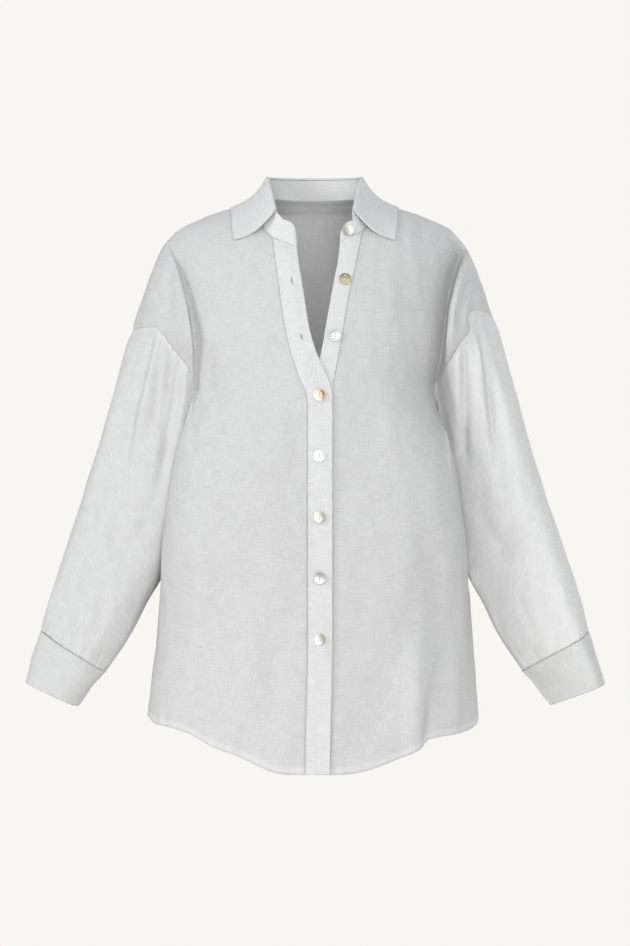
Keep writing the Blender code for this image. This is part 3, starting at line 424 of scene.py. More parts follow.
def cloth_piece(name, points, across, down, thickness, material, normals, layers=None, closed=False, slits=(),
                weld=False):
    """Makes a thin shell of cloth from a grid. Its UV map measures the cloth in metres, for the weave.
    "layers" is 1 where the cloth is doubled. "slits" are (row, column) squares left open as buttonholes."""
    rows, columns = points.shape[:2]
    wrap = columns - 1 if closed else columns
    r, c = np.meshgrid(np.arange(rows - 1), np.arange(columns - 1), indexing="ij")
    corners = [(r, c), (r, c + 1), (r + 1, c + 1), (r + 1, c)]
    keep = np.ones(r.shape, bool)
    for slit in slits:
        keep[slit] = False
    first, second = points[1:, :-1] - points[:-1, :-1], points[:-1, 1:] - points[:-1, :-1]
    if (np.cross(second, first) * normals[:-1, :-1]).sum() < 0:
        corners = corners[::-1]
    faces = np.stack([a * wrap + b % wrap for a, b in corners], -1)[keep]
    mesh = bpy.data.meshes.new(name)
    mesh.from_pydata(points[:, :wrap].reshape(-1, 3) * MM, [], faces.tolist())
    uv = np.stack([np.stack([across[a, b], down[a, b]], -1) for a, b in corners], -2)[keep] * MM
    mesh.uv_layers.new(name="cloth").data.foreach_set("uv", uv.astype(np.float32).ravel())
    doubled = np.zeros(points.shape[:2]) if layers is None else layers
    mesh.attributes.new("doubled", "FLOAT", "POINT").data.foreach_set(
        "value", doubled[:, :wrap].astype(np.float32).ravel())
    mesh.materials.append(material)
    mesh.shade_smooth()
    piece = bpy.data.objects.new(name, mesh)
    bpy.context.scene.collection.objects.link(piece)
    bpy.ops.object.select_all(action="DESELECT")
    bpy.context.view_layer.objects.active = piece
    if weld:
        bpy.ops.object.mode_set(mode="EDIT")
        bpy.ops.mesh.select_all(action="SELECT")
        bpy.ops.mesh.remove_doubles(threshold=WELD_DISTANCE * MM)
        bpy.ops.object.mode_set(mode="OBJECT")
    wall = piece.modifiers.new("wall", "SOLIDIFY")
    wall.thickness, wall.offset = thickness * MM, -1
    bpy.ops.object.modifier_apply(modifier="wall")
    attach(piece, "root")
    return piece


def new_material(name):
    """A node material with only its Principled shader, and a short way to add nodes to it."""
    material = bpy.data.materials.new(name)
    material.use_nodes = True
    nodes, links = material.node_tree.nodes, material.node_tree.links

    def add(kind, inputs=None, **settings):
        node = nodes.new("ShaderNode" + kind)
        for field, value in settings.items():
            setattr(node, field, value)
        for socket, value in (inputs or {}).items():
            if isinstance(value, bpy.types.NodeSocket):
                links.new(value, node.inputs[socket])
            else:
                node.inputs[socket].default_value = value
        return node

    return material, nodes["Principled BSDF"], nodes["Material Output"], add, links


THREAD_PITCH = 0.00062
LINEN_DARK = (0.66, 0.66, 0.655, 1)
LINEN_LIGHT = (0.80, 0.80, 0.80, 1)
LINEN_DOUBLED = (0.83, 0.83, 0.83, 1)


def linen(name, tone=1.0, sheer=0.3):
    """Plain-woven linen: an over-and-under weave, thicker threads that run on for a few centimetres both
    ways, and a whiter, closer look where two layers lie together."""
    material, shader, output, add, links = new_material(name)
    uv = add("UVMap", uv_map="cloth").outputs["UV"]
    doubled = add("Attribute", attribute_name="doubled").outputs["Fac"]

    def threads(across, down, detail, start):
        place = add("Mapping", {"Vector": uv, "Scale": (across, down, 1), "Location": (start, start, 0)})
        return add("TexNoise", {"Vector": place.outputs[0], "Scale": 1.0, "Detail": detail, "Roughness": 0.6})

    warp = threads(980, 70, 2, 3.1).outputs["Fac"]
    weft = threads(60, 940, 2, 7.7).outputs["Fac"]
    cloudy = threads(60, 48, 3, 1.3).outputs["Fac"]
    both = add("Math", {0: warp, 1: weft}, operation="ADD").outputs[0]
    slubs = add("MapRange", {"Value": both, "From Min": 0.74, "From Max": 1.26}).outputs[0]
    cloud = add("MapRange", {"Value": cloudy, "From Min": 0.3, "From Max": 0.7}).outputs[0]
    share = add("Mix", {0: 0.22, 2: slubs, 3: cloud}, data_type="FLOAT").outputs[0]
    toned = [tuple(value * tone for value in colour[:3]) + (1,) for colour in (LINEN_DARK, LINEN_LIGHT)]
    single = add("Mix", {0: share, 6: toned[0], 7: toned[1]}, data_type="RGBA").outputs[2]
    colour = add("Mix", {0: doubled, 6: single, 7: LINEN_DOUBLED}, data_type="RGBA").outputs[2]

    waves = []
    for direction in ("X", "Y"):
        wave = add("TexWave", {"Vector": uv, "Scale": np.pi / 10 / THREAD_PITCH, "Distortion": 0.0},
                   bands_direction=direction)
        waves.append(wave.outputs["Fac"])
    woven = add("Math", {0: waves[0], 1: waves[1]}, operation="MAXIMUM").outputs[0]
    height = add("Math", {0: woven, 1: 0.35, 2: slubs}, operation="MULTIPLY_ADD").outputs[0]
    bump = add("Bump", {"Height": height, "Strength": 0.5, "Distance": 0.00025}).outputs[0]

    links.new(colour, shader.inputs["Base Color"])
    links.new(bump, shader.inputs["Normal"])
    shader.inputs["Roughness"].default_value = 0.88
    shader.inputs["Specular IOR Level"].default_value = 0.25
    shader.inputs["Sheen Weight"].default_value = 0.15
    shader.inputs["Sheen Roughness"].default_value = 0.5
    through = add("BsdfTranslucent", {"Color": colour, "Normal": bump})
    mix = add("MixShader", {0: sheer, 1: shader.outputs[0], 2: through.outputs[0]})
    links.new(mix.outputs[0], output.inputs["Surface"])
    return material


body_linen = linen("body_linen")

STITCH_PITCH = 3.2
STITCH_LENGTH = 2.3
THREAD_RADIUS = 0.2
THREAD_DIP = 0.22
THREAD_PROUD = 0.7
STITCH_FACES = [(1, 2, 6, 5), (2, 3, 7, 6), (3, 4, 8, 7), (4, 1, 5, 8),
                (2, 1, 0), (3, 2, 0), (4, 3, 0), (1, 4, 0), (5, 6, 9), (6, 7, 9), (7, 8, 9), (8, 5, 9)]


def sewing_thread():
    """White cotton thread, a little shinier than the cloth, its twist seen as fine slanting tone."""
    material, shader, output, add, links = new_material("sewing_thread")
    place = add("TexCoord").outputs["Object"]
    twist = add("TexNoise", {"Vector": place, "Scale": 2600.0, "Detail": 2.0}).outputs["Fac"]
    colour = add("Mix", {0: twist, 6: (0.70, 0.70, 0.69, 1), 7: (0.90, 0.90, 0.88, 1)}, data_type="RGBA")
    links.new(colour.outputs[2], shader.inputs["Base Color"])
    bump = add("Bump", {"Height": twist, "Strength": 0.4, "Distance": 0.0001})
    links.new(bump.outputs[0], shader.inputs["Normal"])
    shader.inputs["Roughness"].default_value = 0.6
    return material


thread = sewing_thread()


def unit(vectors):
    return vectors / np.maximum(np.linalg.norm(vectors, axis=-1, keepdims=True), 1e-9)


def thread_piece(name, stitches, radius=THREAD_RADIUS):
    """Makes short threads as one piece. Each rises from the cloth at its start and dips back at its end."""
    starts, ends, ups = [np.concatenate(part) for part in zip(*stitches)]
    way = ends - starts
    side = unit(np.cross(ups, way)) * radius
    up = unit(ups) * radius
    near = starts + THREAD_DIP * way + THREAD_PROUD * up
    far = ends - THREAD_DIP * way + THREAD_PROUD * up
    ring = [side, up, -side, -up]
    rings = [place + r for place in (near, far) for r in ring]
    corners = np.stack([starts - up] + rings + [ends - up], axis=1)
    faces = [tuple(10 * k + corner for corner in face) for k in range(len(starts)) for face in STITCH_FACES]
    mesh = bpy.data.meshes.new(name)
    mesh.from_pydata((corners.reshape(-1, 3) * MM).tolist(), [], faces)
    mesh.materials.append(thread)
    mesh.shade_smooth()
    piece = bpy.data.objects.new(name, mesh)
    bpy.context.scene.collection.objects.link(piece)
    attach(piece, "root")
    return piece


def stitch_row(line, pitch=STITCH_PITCH, length=STITCH_LENGTH, crosswise=False):
    """Starts, ends and upward ways of the stitches along a line of points and normals on the cloth."""
    points, normals = line
    at = lengths_along(points)
    spots = np.arange(pitch / 2 + length / 2, at[-1] - length / 2, pitch)

    def place(values, where):
        return np.stack([np.interp(where, at, values[:, axis]) for axis in range(3)], -1)

    ups = unit(place(normals, spots))
    starts, ends = place(points, spots - length / 2), place(points, spots + length / 2)
    if crosswise:
        middles, across = (starts + ends) / 2, unit(np.cross(ups, ends - starts))
        starts, ends = middles - across * length / 2, middles + across * length / 2
    return starts, ends, ups


def inside_edge(points, normals, distance):
    """The line that keeps a set distance from a grid's first row, with the cloth's normals along it."""
    away = lengths_along(points)
    row = np.clip((away < distance).sum(axis=0), 1, len(points) - 1)
    column = np.arange(points.shape[1])
    share = ((distance - away[row - 1, column]) / (away[row, column] - away[row - 1, column]))[:, None]
    line = points[row - 1, column] * (1 - share) + points[row, column] * share
    return line, normals[row, column]


Cut = namedtuple("Cut", "flat area held rests_on")


def sew(solid, grid, measures, thickness, cloth, cut, lines, threads=(), **shaping):
    """Puts a piece of cloth in a solid's place and stitches it along lines."""
    points, normals = grid
    piece = cloth_piece(solid + "_cloth", points, *measures, thickness, cloth, normals, **shaping)
    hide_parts(solid)
    seams = thread_piece(solid + "_stitches", [stitch_row(line) for line in lines] + list(threads))
    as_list(cut.rests_on)


def front_rows(side):
    """Turns and heights down a front's neckline and its band seam."""
    neck = [SHOULDER_NECK._replace(x=side * SHOULDER_NECK.x)] + list(NECKLINE[side][::-1])
    seam_top = BAND_SEAM[side][0]
    neck = [row for row in neck if row.z >= seam_top.z]
    spots, knots = np.linspace(0, 1, NECK_ROWS + 1), np.linspace(0, 1, len(neck))
    neck_x = smooth_lookup(spots, knots, [row.x for row in neck])
    neck_z = smooth_lookup(spots, knots, [row.z for row in neck])
    upper_z = np.linspace(seam_top.z, WAIST_ROW_Z, HOLE_ROWS - NECK_ROWS + 1)[1:]
    lower_z = np.linspace(WAIST_ROW_Z, HEM_FRONT_Z, SIDE_ROWS + 1)[1:]
    z = np.concatenate((neck_z, upper_z, lower_z))
    x = np.concatenate((neck_x, read(BAND_SEAM[side], "z", "x", np.concatenate((upper_z, lower_z)))))
    turn = turn_at(side * x, z)
    turn[0] = np.pi / 2
    return turn, z


RIDGE_STEPS = 800
COLUMN_CROWDING = 1.15


def ridge_length(z):
    """Length down the shoulder seam's slope from its neck end, and on below its outer end."""
    heights = np.linspace(SHOULDER_NECK.z, HEM_FRONT_Z - 10, RIDGE_STEPS)
    widths = read(BODY, "z", "half_width", np.maximum(heights, SHOULDER_END_Z))
    lengths = np.concatenate(([0], np.cumsum(np.hypot(np.diff(heights), np.diff(widths)))))
    return np.interp(-np.asarray(z, float), -heights, lengths), heights, lengths


def panel_grid(inner_turn, inner_z, side, face):
    """A front's or half back's points. Rows run from the neckline and centre line out to the armhole and the
    side seam; the first row is the shoulder seam."""
    around = np.linspace(0, 180, HOLE_ROWS + 1)
    hole_turn = np.radians(read(ARMHOLE[side], "around", "turn", around))
    if face == BACK:
        hole_turn = np.pi - hole_turn
    side_z = np.linspace(UNDERARM_Z, HEM_SIDE_Z, SIDE_ROWS + 1)[1:]
    outer_turn = np.concatenate((hole_turn, np.full(SIDE_ROWS, np.pi / 2)))
    outer_z = np.concatenate((read(ARMHOLE[side], "around", "z", around), side_z))
    _, heights, lengths = ridge_length(0)
    inner_s, outer_s = ridge_length(inner_z)[0], ridge_length(outer_z)[0]
    across = 1 - (1 - np.arange(PANEL_COLUMNS + 1) / PANEL_COLUMNS) ** COLUMN_CROWDING
    turn = inner_turn[:, None] + (outer_turn - inner_turn)[:, None] * across
    z = np.interp(inner_s[:, None] + (outer_s - inner_s)[:, None] * across, lengths, heights)
    hem_x = body_point(turn[-1], z[-1], side, (), 0)[:, 0]
    hem_z = read(HEM[side], "x", "z", np.abs(hem_x))
    lower = np.clip((np.arange(len(z)) - HOLE_ROWS) / SIDE_ROWS, 0, 1) ** 2
    z = z + lower[:, None] * (hem_z - z[-1])
    points = body_point(turn, z, side)
    return points, grid_normals(points)


HEM_DEPTH = 9.0
HEM_WHITER = 0.6
HEM_BLUR = 1.6
HEM_PUCKER = Pucker(depth=0.7, reach=14, pitch=17)
EDGE_STITCH = 1.6
FRONT_CUT = Cut((0.30, 0.75), 0.16, "hung", ["collar_stand_cloth"])

fronts = {}
for side in (RIGHT, LEFT):
    points, normals = panel_grid(*front_rows(side), side, FRONT)
    pucker(points[::-1], normals[::-1], HEM_PUCKER, side)
    fronts[side] = points, normals
    to_hem = lengths_along(points[::-1])[::-1]
    turned = HEM_WHITER * ease((HEM_DEPTH + HEM_BLUR / 2 - to_hem) / HEM_BLUR)
    across = side * lengths_across(points) + points[:, :1, 0]
    hem = inside_edge(points[::-1], normals[::-1], HEM_DEPTH - 1)
    shoulder = inside_edge(points, normals, EDGE_STITCH)
    side_edge = [turned_over(grid[HOLE_ROWS:, ::-1]) for grid in (points, normals)]
    flank = inside_edge(*side_edge, EDGE_STITCH)
    sew(f"front_{SIDE_NAMES[side]}", fronts[side], (across, points[..., 2]), CLOTH, body_linen, FRONT_CUT,
        (hem, shoulder, flank), layers=turned)

# ---- The back ----
# The back is one layer, cut whole, here made of two halves welded down the middle. It is sewn to the fronts
# at the shoulders and down the sides, and shows its inside through the open neck.
BACK_NECK_RISE = 3
BACK_CUT = Cut((0.64, 0.75), 0.355, "hung", ["collar_stand_cloth"])


def back_half(side):
    """Half the back's points, from the centre line out to one side."""
    neck_turn = np.linspace(np.pi / 2, np.pi, NECK_ROWS + 1)
    neck_z = SHOULDER_NECK.z + BACK_NECK_RISE * ease(np.linspace(0, 1, NECK_ROWS + 1))
    upper_z = np.linspace(neck_z[-1], WAIST_ROW_Z, HOLE_ROWS - NECK_ROWS + 1)[1:]
    lower_z = np.linspace(WAIST_ROW_Z, HEM_FRONT_Z, SIDE_ROWS + 1)[1:]
    z = np.concatenate((neck_z, upper_z, lower_z))
    turn = np.concatenate((neck_turn, np.full(len(z) - len(neck_turn), np.pi)))
    return panel_grid(turn, z, side, BACK)


backs = {side: back_half(side) for side in (RIGHT, LEFT)}
points, normals = [np.concatenate((backs[RIGHT][k][:, ::-1], backs[LEFT][k]), axis=1) for k in range(2)]
pucker(points[::-1], normals[::-1], HEM_PUCKER, 2)
middle = PANEL_COLUMNS + 1
points[NECK_ROWS:, middle] = points[NECK_ROWS:, middle - 1]
to_hem = lengths_along(points[::-1])[::-1]
turned = HEM_WHITER * ease((HEM_DEPTH + HEM_BLUR / 2 - to_hem) / HEM_BLUR)
across = lengths_across(points)
across = across - across[:, middle - 1:middle]
across[:NECK_ROWS, middle:] += across[NECK_ROWS, middle] - across[:NECK_ROWS, middle:middle + 1]
left_open = [(row, middle - 1) for row in range(len(points) - 1)]
back_lines = []
for columns in (slice(None, middle), slice(middle, None)):
    back_lines.append(inside_edge(points[::-1, columns], normals[::-1, columns], HEM_DEPTH - 1))
for step in (1, -1):
    side_edge = [turned_over(grid[HOLE_ROWS:, ::step]) for grid in (points, normals)]
    back_lines.append(inside_edge(*side_edge, EDGE_STITCH))
sew("back", (points, normals), (across, points[..., 2]), CLOTH, body_linen, BACK_CUT, back_lines,
    layers=turned, slits=left_open, weld=True)

# ---- The front bands ----
# Each band is a strip of the same linen folded double, sewn down the front's edge. The right band has the
# buttonholes and lies on the left one below the opening.
BAND_COLUMNS = 16
BAND_WIDTH = 30.0
BAND_STAND = 0.5
BAND_SEAM_PUCKER = Pucker(depth=0.35, reach=7, pitch=11)
BAND_EDGE_PUCKER = Pucker(depth=0.35, reach=6, pitch=13)
BAND_FLAT = (0.032, 0.69)
BAND_AREA = 0.0205
HOLE_HALF = 6.0
HOLE_GAPE = 0.5
HOLE_EASING = 8.0
LIP_STITCH_PITCH = 0.5
LIP_STITCH_LENGTH = 1.4
LIP_STITCH_OUT = 0.7
BAR_THREADS = 3
BAR_STEP = 0.35
BAR_HALF = 1.5
# A buttonhole's place: its share of the way from the band's seam to its free edge, and its height. The lowest
# five hold buttons, which sit low in them.
Buttonhole = namedtuple("Buttonhole", "share z")
FIRST_CLOSED_BUTTON_Z = -252.6
BUTTON_PITCH = 75.8
BUTTONHOLES = {
    RIGHT: [Buttonhole(0.57, -109.6), Buttonhole(0.59, -179)]
    + [Buttonhole(0.46, FIRST_CLOSED_BUTTON_Z - k * BUTTON_PITCH + 3) for k in range(5)],
    LEFT: [],
}
BAND_EDGE = {
    RIGHT: (Line(-22, -66), Line(-19, -90), Line(-14, -120), Line(-6, -170), Line(4, -203), Line(13, -222),
            Line(20.5, -242), Line(22.5, -258), Line(22.5, -730)),
    LEFT: (Line(32, -59), Line(29.5, -83), Line(24.5, -108), Line(15.5, -158), Line(9, -195), Line(0, -230),
           Line(-7, -258), Line(-7.5, -730)),
}
band_linen = linen("band_linen", sheer=0.15)


def band_points(side):
    """A band's points between its seam and its free edge, and the squares that its buttonholes leave open."""
    z = front_rows(side)[1][NECK_ROWS:]
    z = np.interp(np.arange(0, len(z) - 0.5, 0.5), np.arange(len(z)), z)
    down = np.linspace(0, 1, len(z))
    edge_drop = (NECKLINE[side][0].z - BAND_SEAM[side][0].z) * (1 - down) ** 4
    across = np.tile(np.linspace(0, 1, BAND_COLUMNS + 1), (len(z), 1))
    grid_z = z[:, None] + edge_drop[:, None] * across
    seam, edge = read(BAND_SEAM[side], "z", "x", grid_z), read(BAND_EDGE[side], "z", "x", grid_z)
    cuts = []
    for hole in BUTTONHOLES[side]:
        column = int(hole.share * BAND_COLUMNS)
        from_hole = np.abs(grid_z[:, column] - hole.z)
        gape = HOLE_GAPE * np.sqrt(np.clip(1 - (from_hole / HOLE_HALF) ** 2, 0, 1)) + 0.02
        near = ease((HOLE_HALF + HOLE_EASING - from_hole) / HOLE_EASING)
        for lip, way in ((column, -1), (column + 1, 1)):
            across[:, lip] += near * (hole.share + way * gape / BAND_WIDTH - across[:, lip])
        cuts.append((np.flatnonzero(from_hole < HOLE_HALF)[:-1], column))
    x = seam + (edge - seam) * across
    return body_point(turn_at(side * x, grid_z), grid_z, side), x, grid_z, cuts


def buttonhole_stitches(points, normals, rows, lips):
    """Close stitches along both lips of a buttonhole, with a bar of them across each end."""
    made = []
    rows = np.append(rows, rows[-1] + 1)
    outward = unit(points[rows, lips[1]] - points[rows, lips[0]])
    for lip, way in zip(lips, (-1, 1)):
        lip_normals = normals[rows, lip]
        line = points[rows, lip] + way * LIP_STITCH_OUT * outward + 0.05 * lip_normals, lip_normals
        made.append(stitch_row(line, LIP_STITCH_PITCH, LIP_STITCH_LENGTH, crosswise=True))
    for end in (0, -1):
        middle = (points[rows[end], lips[0]] + points[rows[end], lips[1]]) / 2
        up = normals[rows[end], lips[0]]
        beyond = unit(np.cross(up, outward[end])) * (BAR_STEP if end else -BAR_STEP)
        for k in range(BAR_THREADS):
            place, reach = middle + k * beyond, BAR_HALF * outward[end]
            made.append([(place - reach)[None], (place + reach)[None], up[None]])
    return made


bands = {}
for side in (RIGHT, LEFT):
    points, x, z, cuts = band_points(side)
    normals = grid_normals(points)
    points = points + BAND_STAND * normals
    pucker(turned_over(points), turned_over(normals), BAND_SEAM_PUCKER, side)
    pucker(turned_over(points[:, ::-1]), turned_over(normals[:, ::-1]), BAND_EDGE_PUCKER, side + 1)
    bands[side] = points, normals
    edges = [inside_edge(turned_over(points[:, ::step]), turned_over(normals[:, ::step]), EDGE_STITCH)
             for step in (1, -1)]
    hole_threads = []
    for rows, column in cuts:
        hole_threads += buttonhole_stitches(points, normals, rows, (column, column + 1))
    cut = Cut(BAND_FLAT, BAND_AREA, "hung", [f"front_{SIDE_NAMES[side]}_cloth"])
    sew(f"band_{SIDE_NAMES[side]}", bands[side], (x, z), DOUBLE_CLOTH, band_linen, cut, edges, hole_threads,
        slits=cuts)

# ---- The sleeves ----
# Each sleeve is one layer, closed by a seam under the arm, set into a dropped armhole and gathered into its
# cuff.
SLEEVE_ROWS = 128
SLEEVE_FLAT = (0.42, 0.50)
SLEEVE_AREA = 0.15
ARMHOLE_BLEND = 90.0
GATHER_WAVES = 7
GATHER_DEPTH = 1.5
GATHER_LENGTH = 60.0
GATHER_SHIFT = 0.4
GATHER_LEFT_AT_CUFF = 0.35
GATHER_EASE_AT_CUFF = 12.0
SLEEVE_FOLD_START = 14.0
ARMHOLE_PUCKER = Pucker(depth=0.5, reach=9, pitch=13)
SEAM_ALLOWANCE = 7.5
ALLOWANCE_STITCH = 6.8
ALLOWANCE_WHITER = 0.7
RIPPLE_RADIUS = 60
RIPPLE_START = 30
FINE_GATHER_DEPTH = 0.45
FINE_GATHER_LENGTH = 30.0
LEAN = {RIGHT: -9.0, LEFT: 34.0}
SLEEVE_FOLDS = folds_on(
    FRONT,
    # right sleeve
    (((-199, -140), (-204, -168), (-212, -203), (-225, -248), (-234, -280), (-239, -318),
      (-240, -360)), -9, 13, 7),
    (((-195, -150), (-201, -185), (-209, -228), (-219, -268), (-225, -320)), 5, 6, 12),
    (((-194, -170), (-196, -205), (-200, -245), (-203, -290)), -3, 6, 6),
    (((-184, -180), (-183, -220), (-188, -260), (-193, -310)), -3.5, 6, 6),
    (((-170, -196), (-172, -224), (-176, -262), (-183, -300), (-190, -335), (-197, -378)), -8, 8, 6),
    (((-163, -205), (-165, -240), (-169, -276), (-176, -315)), 4, 6, 5),
    (((-218, -150), (-230, -195), (-243, -245), (-252, -300)), -3, 10, 7),
    (((-258, -310), (-270, -360), (-282, -410), (-292, -455)), -2.5, 14, 9),
    (((-214, -350), (-226, -400), (-240, -445)), 2.5, 12, 10),
    (((-262, -420), (-240, -446), (-222, -458)), -4, 12, 12),
    (((-262, -500), (-272, -535), (-282, -570)), -2.4, 8, 7),
    (((-300, -470), (-308, -510), (-315, -548)), 2.2, 10, 9),
    # left sleeve
    (((205, -135), (209, -155), (214, -180), (220, -214), (224, -256), (229, -290), (232, -325),
      (238, -370)), -9, 8, 9),
    (((197, -150), (204, -190), (209, -232), (213, -280), (218, -330)), 5, 12, 7),
    (((184, -160), (188, -190), (191, -222), (191, -262), (189, -300), (194, -345)), -8, 8, 6),
    (((178, -176), (181, -205), (182, -240), (181, -280)), 5, 6, 5),
    (((215, -135), (222, -156), (231, -180), (240, -210), (248, -245)), -6, 7, 9),
    (((200, -150), (202, -185), (201, -225)), -3, 5, 5),
    (((258, -310), (268, -360), (280, -410), (292, -455)), -2.5, 9, 14),
    (((216, -350), (228, -400), (242, -445)), 2.5, 10, 12),
    (((266, -410), (244, -438), (226, -452)), -4, 12, 12),
    (((258, -498), (270, -536), (283, -572)), -2.4, 7, 8),
    (((302, -468), (311, -508), (318, -546)), 2.2, 9, 10),
) + folds_on(
    BACK,
    (((-206, -172), (-214, -210), (-224, -255), (-236, -300)), -5, 12, 9),
    (((204, -172), (212, -212), (222, -258), (232, -306)), -5, 9, 12),
    (((-180, -214), (-186, -258), (-196, -310)), -4, 8, 8),
    (((178, -210), (184, -252), (192, -306)), -4, 8, 8),
    (((-286, -400), (-256, -430), (-226, -448)), -5, 13, 13),
    (((284, -392), (254, -424), (228, -444)), -5, 13, 13),
)
# The sleeves get the body's linen painted lighter, the left sleeve most. This is painted light: it stands in
# for the light that shows through the thin sleeves, and for the key light that falls less on the left sleeve.
sleeve_linen_painted_light = {RIGHT: linen("sleeve_right_linen_painted_light", tone=1.06), LEFT: linen("sleeve_left_linen_painted_light", tone=1.15)}


def ring_point(around, length, rings, lean=0.0):
    """A point of a sleeve or cuff: "around" starts at the outer side and passes the front first. "lean"
    brings the outer half of its front forward."""
    mids = np.array([[(r.out_x + r.in_x) / 2, (r.out_z + r.in_z) / 2] for r in rings])
    at = np.concatenate(([0], np.cumsum(np.hypot(*np.diff(mids, axis=0).T))))
    row = {name: smooth_lookup(length, at, [getattr(r, name) for r in rings]) for name in Ring._fields}
    flat = np.abs(np.cos(around)) ** SLEEVE_SQUARENESS + np.abs(np.sin(around)) ** SLEEVE_SQUARENESS
    cosine, sine = [wave(around) * flat ** (-1 / SLEEVE_SQUARENESS) for wave in (np.cos, np.sin)]
    x = (row["out_x"] + row["in_x"]) / 2 + (row["out_x"] - row["in_x"]) / 2 * cosine
    z = (row["out_z"] + row["in_z"]) / 2 + (row["out_z"] - row["in_z"]) / 2 * cosine
    y = row["y"] - row["depth"] * sine - lean * cosine * np.maximum(sine, 0)
    return np.stack([x + 0 * y, y, z + 0 * y], -1), at[-1]


def ring_normals(points):
    """Unit normals of a tube's grid, pointing away from the middle of each ring."""
    normals = np.cross(np.gradient(points, axis=0), np.gradient(points, axis=1))
    ends = np.cross(np.gradient(points, axis=0)[:, 0], points[:, 1] - points[:, -2])
    normals[:, 0], normals[:, -1] = ends, ends
    normals /= np.maximum(np.linalg.norm(normals, axis=-1, keepdims=True), 1e-9)
    facing = (normals * (points - points.mean(axis=1, keepdims=True))).sum()
    return normals if facing > 0 else -normals


def sleeve_grid(side):
    """A sleeve from the armhole's own points down to the cuff."""
    rows = slice(0, HOLE_ROWS + 1)
    loop = np.concatenate((fronts[side][0][rows, -1], backs[side][0][rows, -1][::-1][1:]))
    around = np.linspace(0, 2 * np.pi, 2 * HOLE_ROWS + 1)
    mirror = np.array([side, 1, 1])
    rings = SLEEVE[side]
    total = ring_point(0.0, 0.0, rings)[1]
    shift = loop * mirror - ring_point(around, 0.0, rings, LEAN[side])[0]
    angle, run = np.meshgrid(around, np.linspace(0, total, SLEEVE_ROWS + 1))
    base = ring_point(angle, run, rings, LEAN[side])[0]
    point = base + shift[None] * (1 - ease(run / ARMHOLE_BLEND))[..., None]
    outward = np.stack([np.cos(angle), -np.sin(angle), 0 * angle], -1)
    to_cuff = total - run
    gathers = ease(1 - to_cuff / GATHER_LENGTH) * np.cos(GATHER_WAVES * angle + GATHER_SHIFT * side)
    lift = GATHER_DEPTH * gathers * ease(to_cuff / GATHER_EASE_AT_CUFF + GATHER_LEFT_AT_CUFF)
    fine = ease(1 - to_cuff / FINE_GATHER_LENGTH) * (np.cos(19 * angle + side) + 0.7 * np.cos(31 * angle + 2))
    lift = lift + FINE_GATHER_DEPTH * fine
    middle_y = read(rings, "in_z", "y", base[..., 2])
    face = (point[..., 1] - middle_y) / read(rings, "in_z", "depth", base[..., 2])
    folds = fold_relief(side * point[..., 0], point[..., 2], face, SLEEVE_FOLDS)
    folds = folds + ripple_relief(side * RIPPLE_RADIUS * angle, run) * ease(run / RIPPLE_START)
    lift = lift + folds * ease(run / SLEEVE_FOLD_START)
    points = (point + outward * lift[..., None]) * mirror
    points[:, -1] = points[:, 0]
    return points, ring_normals(points)


sleeves = {}
for side in (RIGHT, LEFT):
    points, normals = sleeve_grid(side)
    pucker(points, normals, ARMHOLE_PUCKER, side)
    points[:, -1] = points[:, 0]
    sleeves[side] = points, normals
    across = lengths_across(points)
    down = lengths_along(points)
    layers = ALLOWANCE_WHITER * ease((SEAM_ALLOWANCE - down) / 1.5)
    head = [inside_edge(points, normals, distance) for distance in (EDGE_STITCH, ALLOWANCE_STITCH)]
    cut = Cut(SLEEVE_FLAT, SLEEVE_AREA, "hung", [f"front_{SIDE_NAMES[side]}_cloth", "back_cloth"])
    sew(f"sleeve_{SIDE_NAMES[side]}", sleeves[side], (across, down), CLOTH, sleeve_linen_painted_light[side], cut, head,
        layers=layers, closed=True)

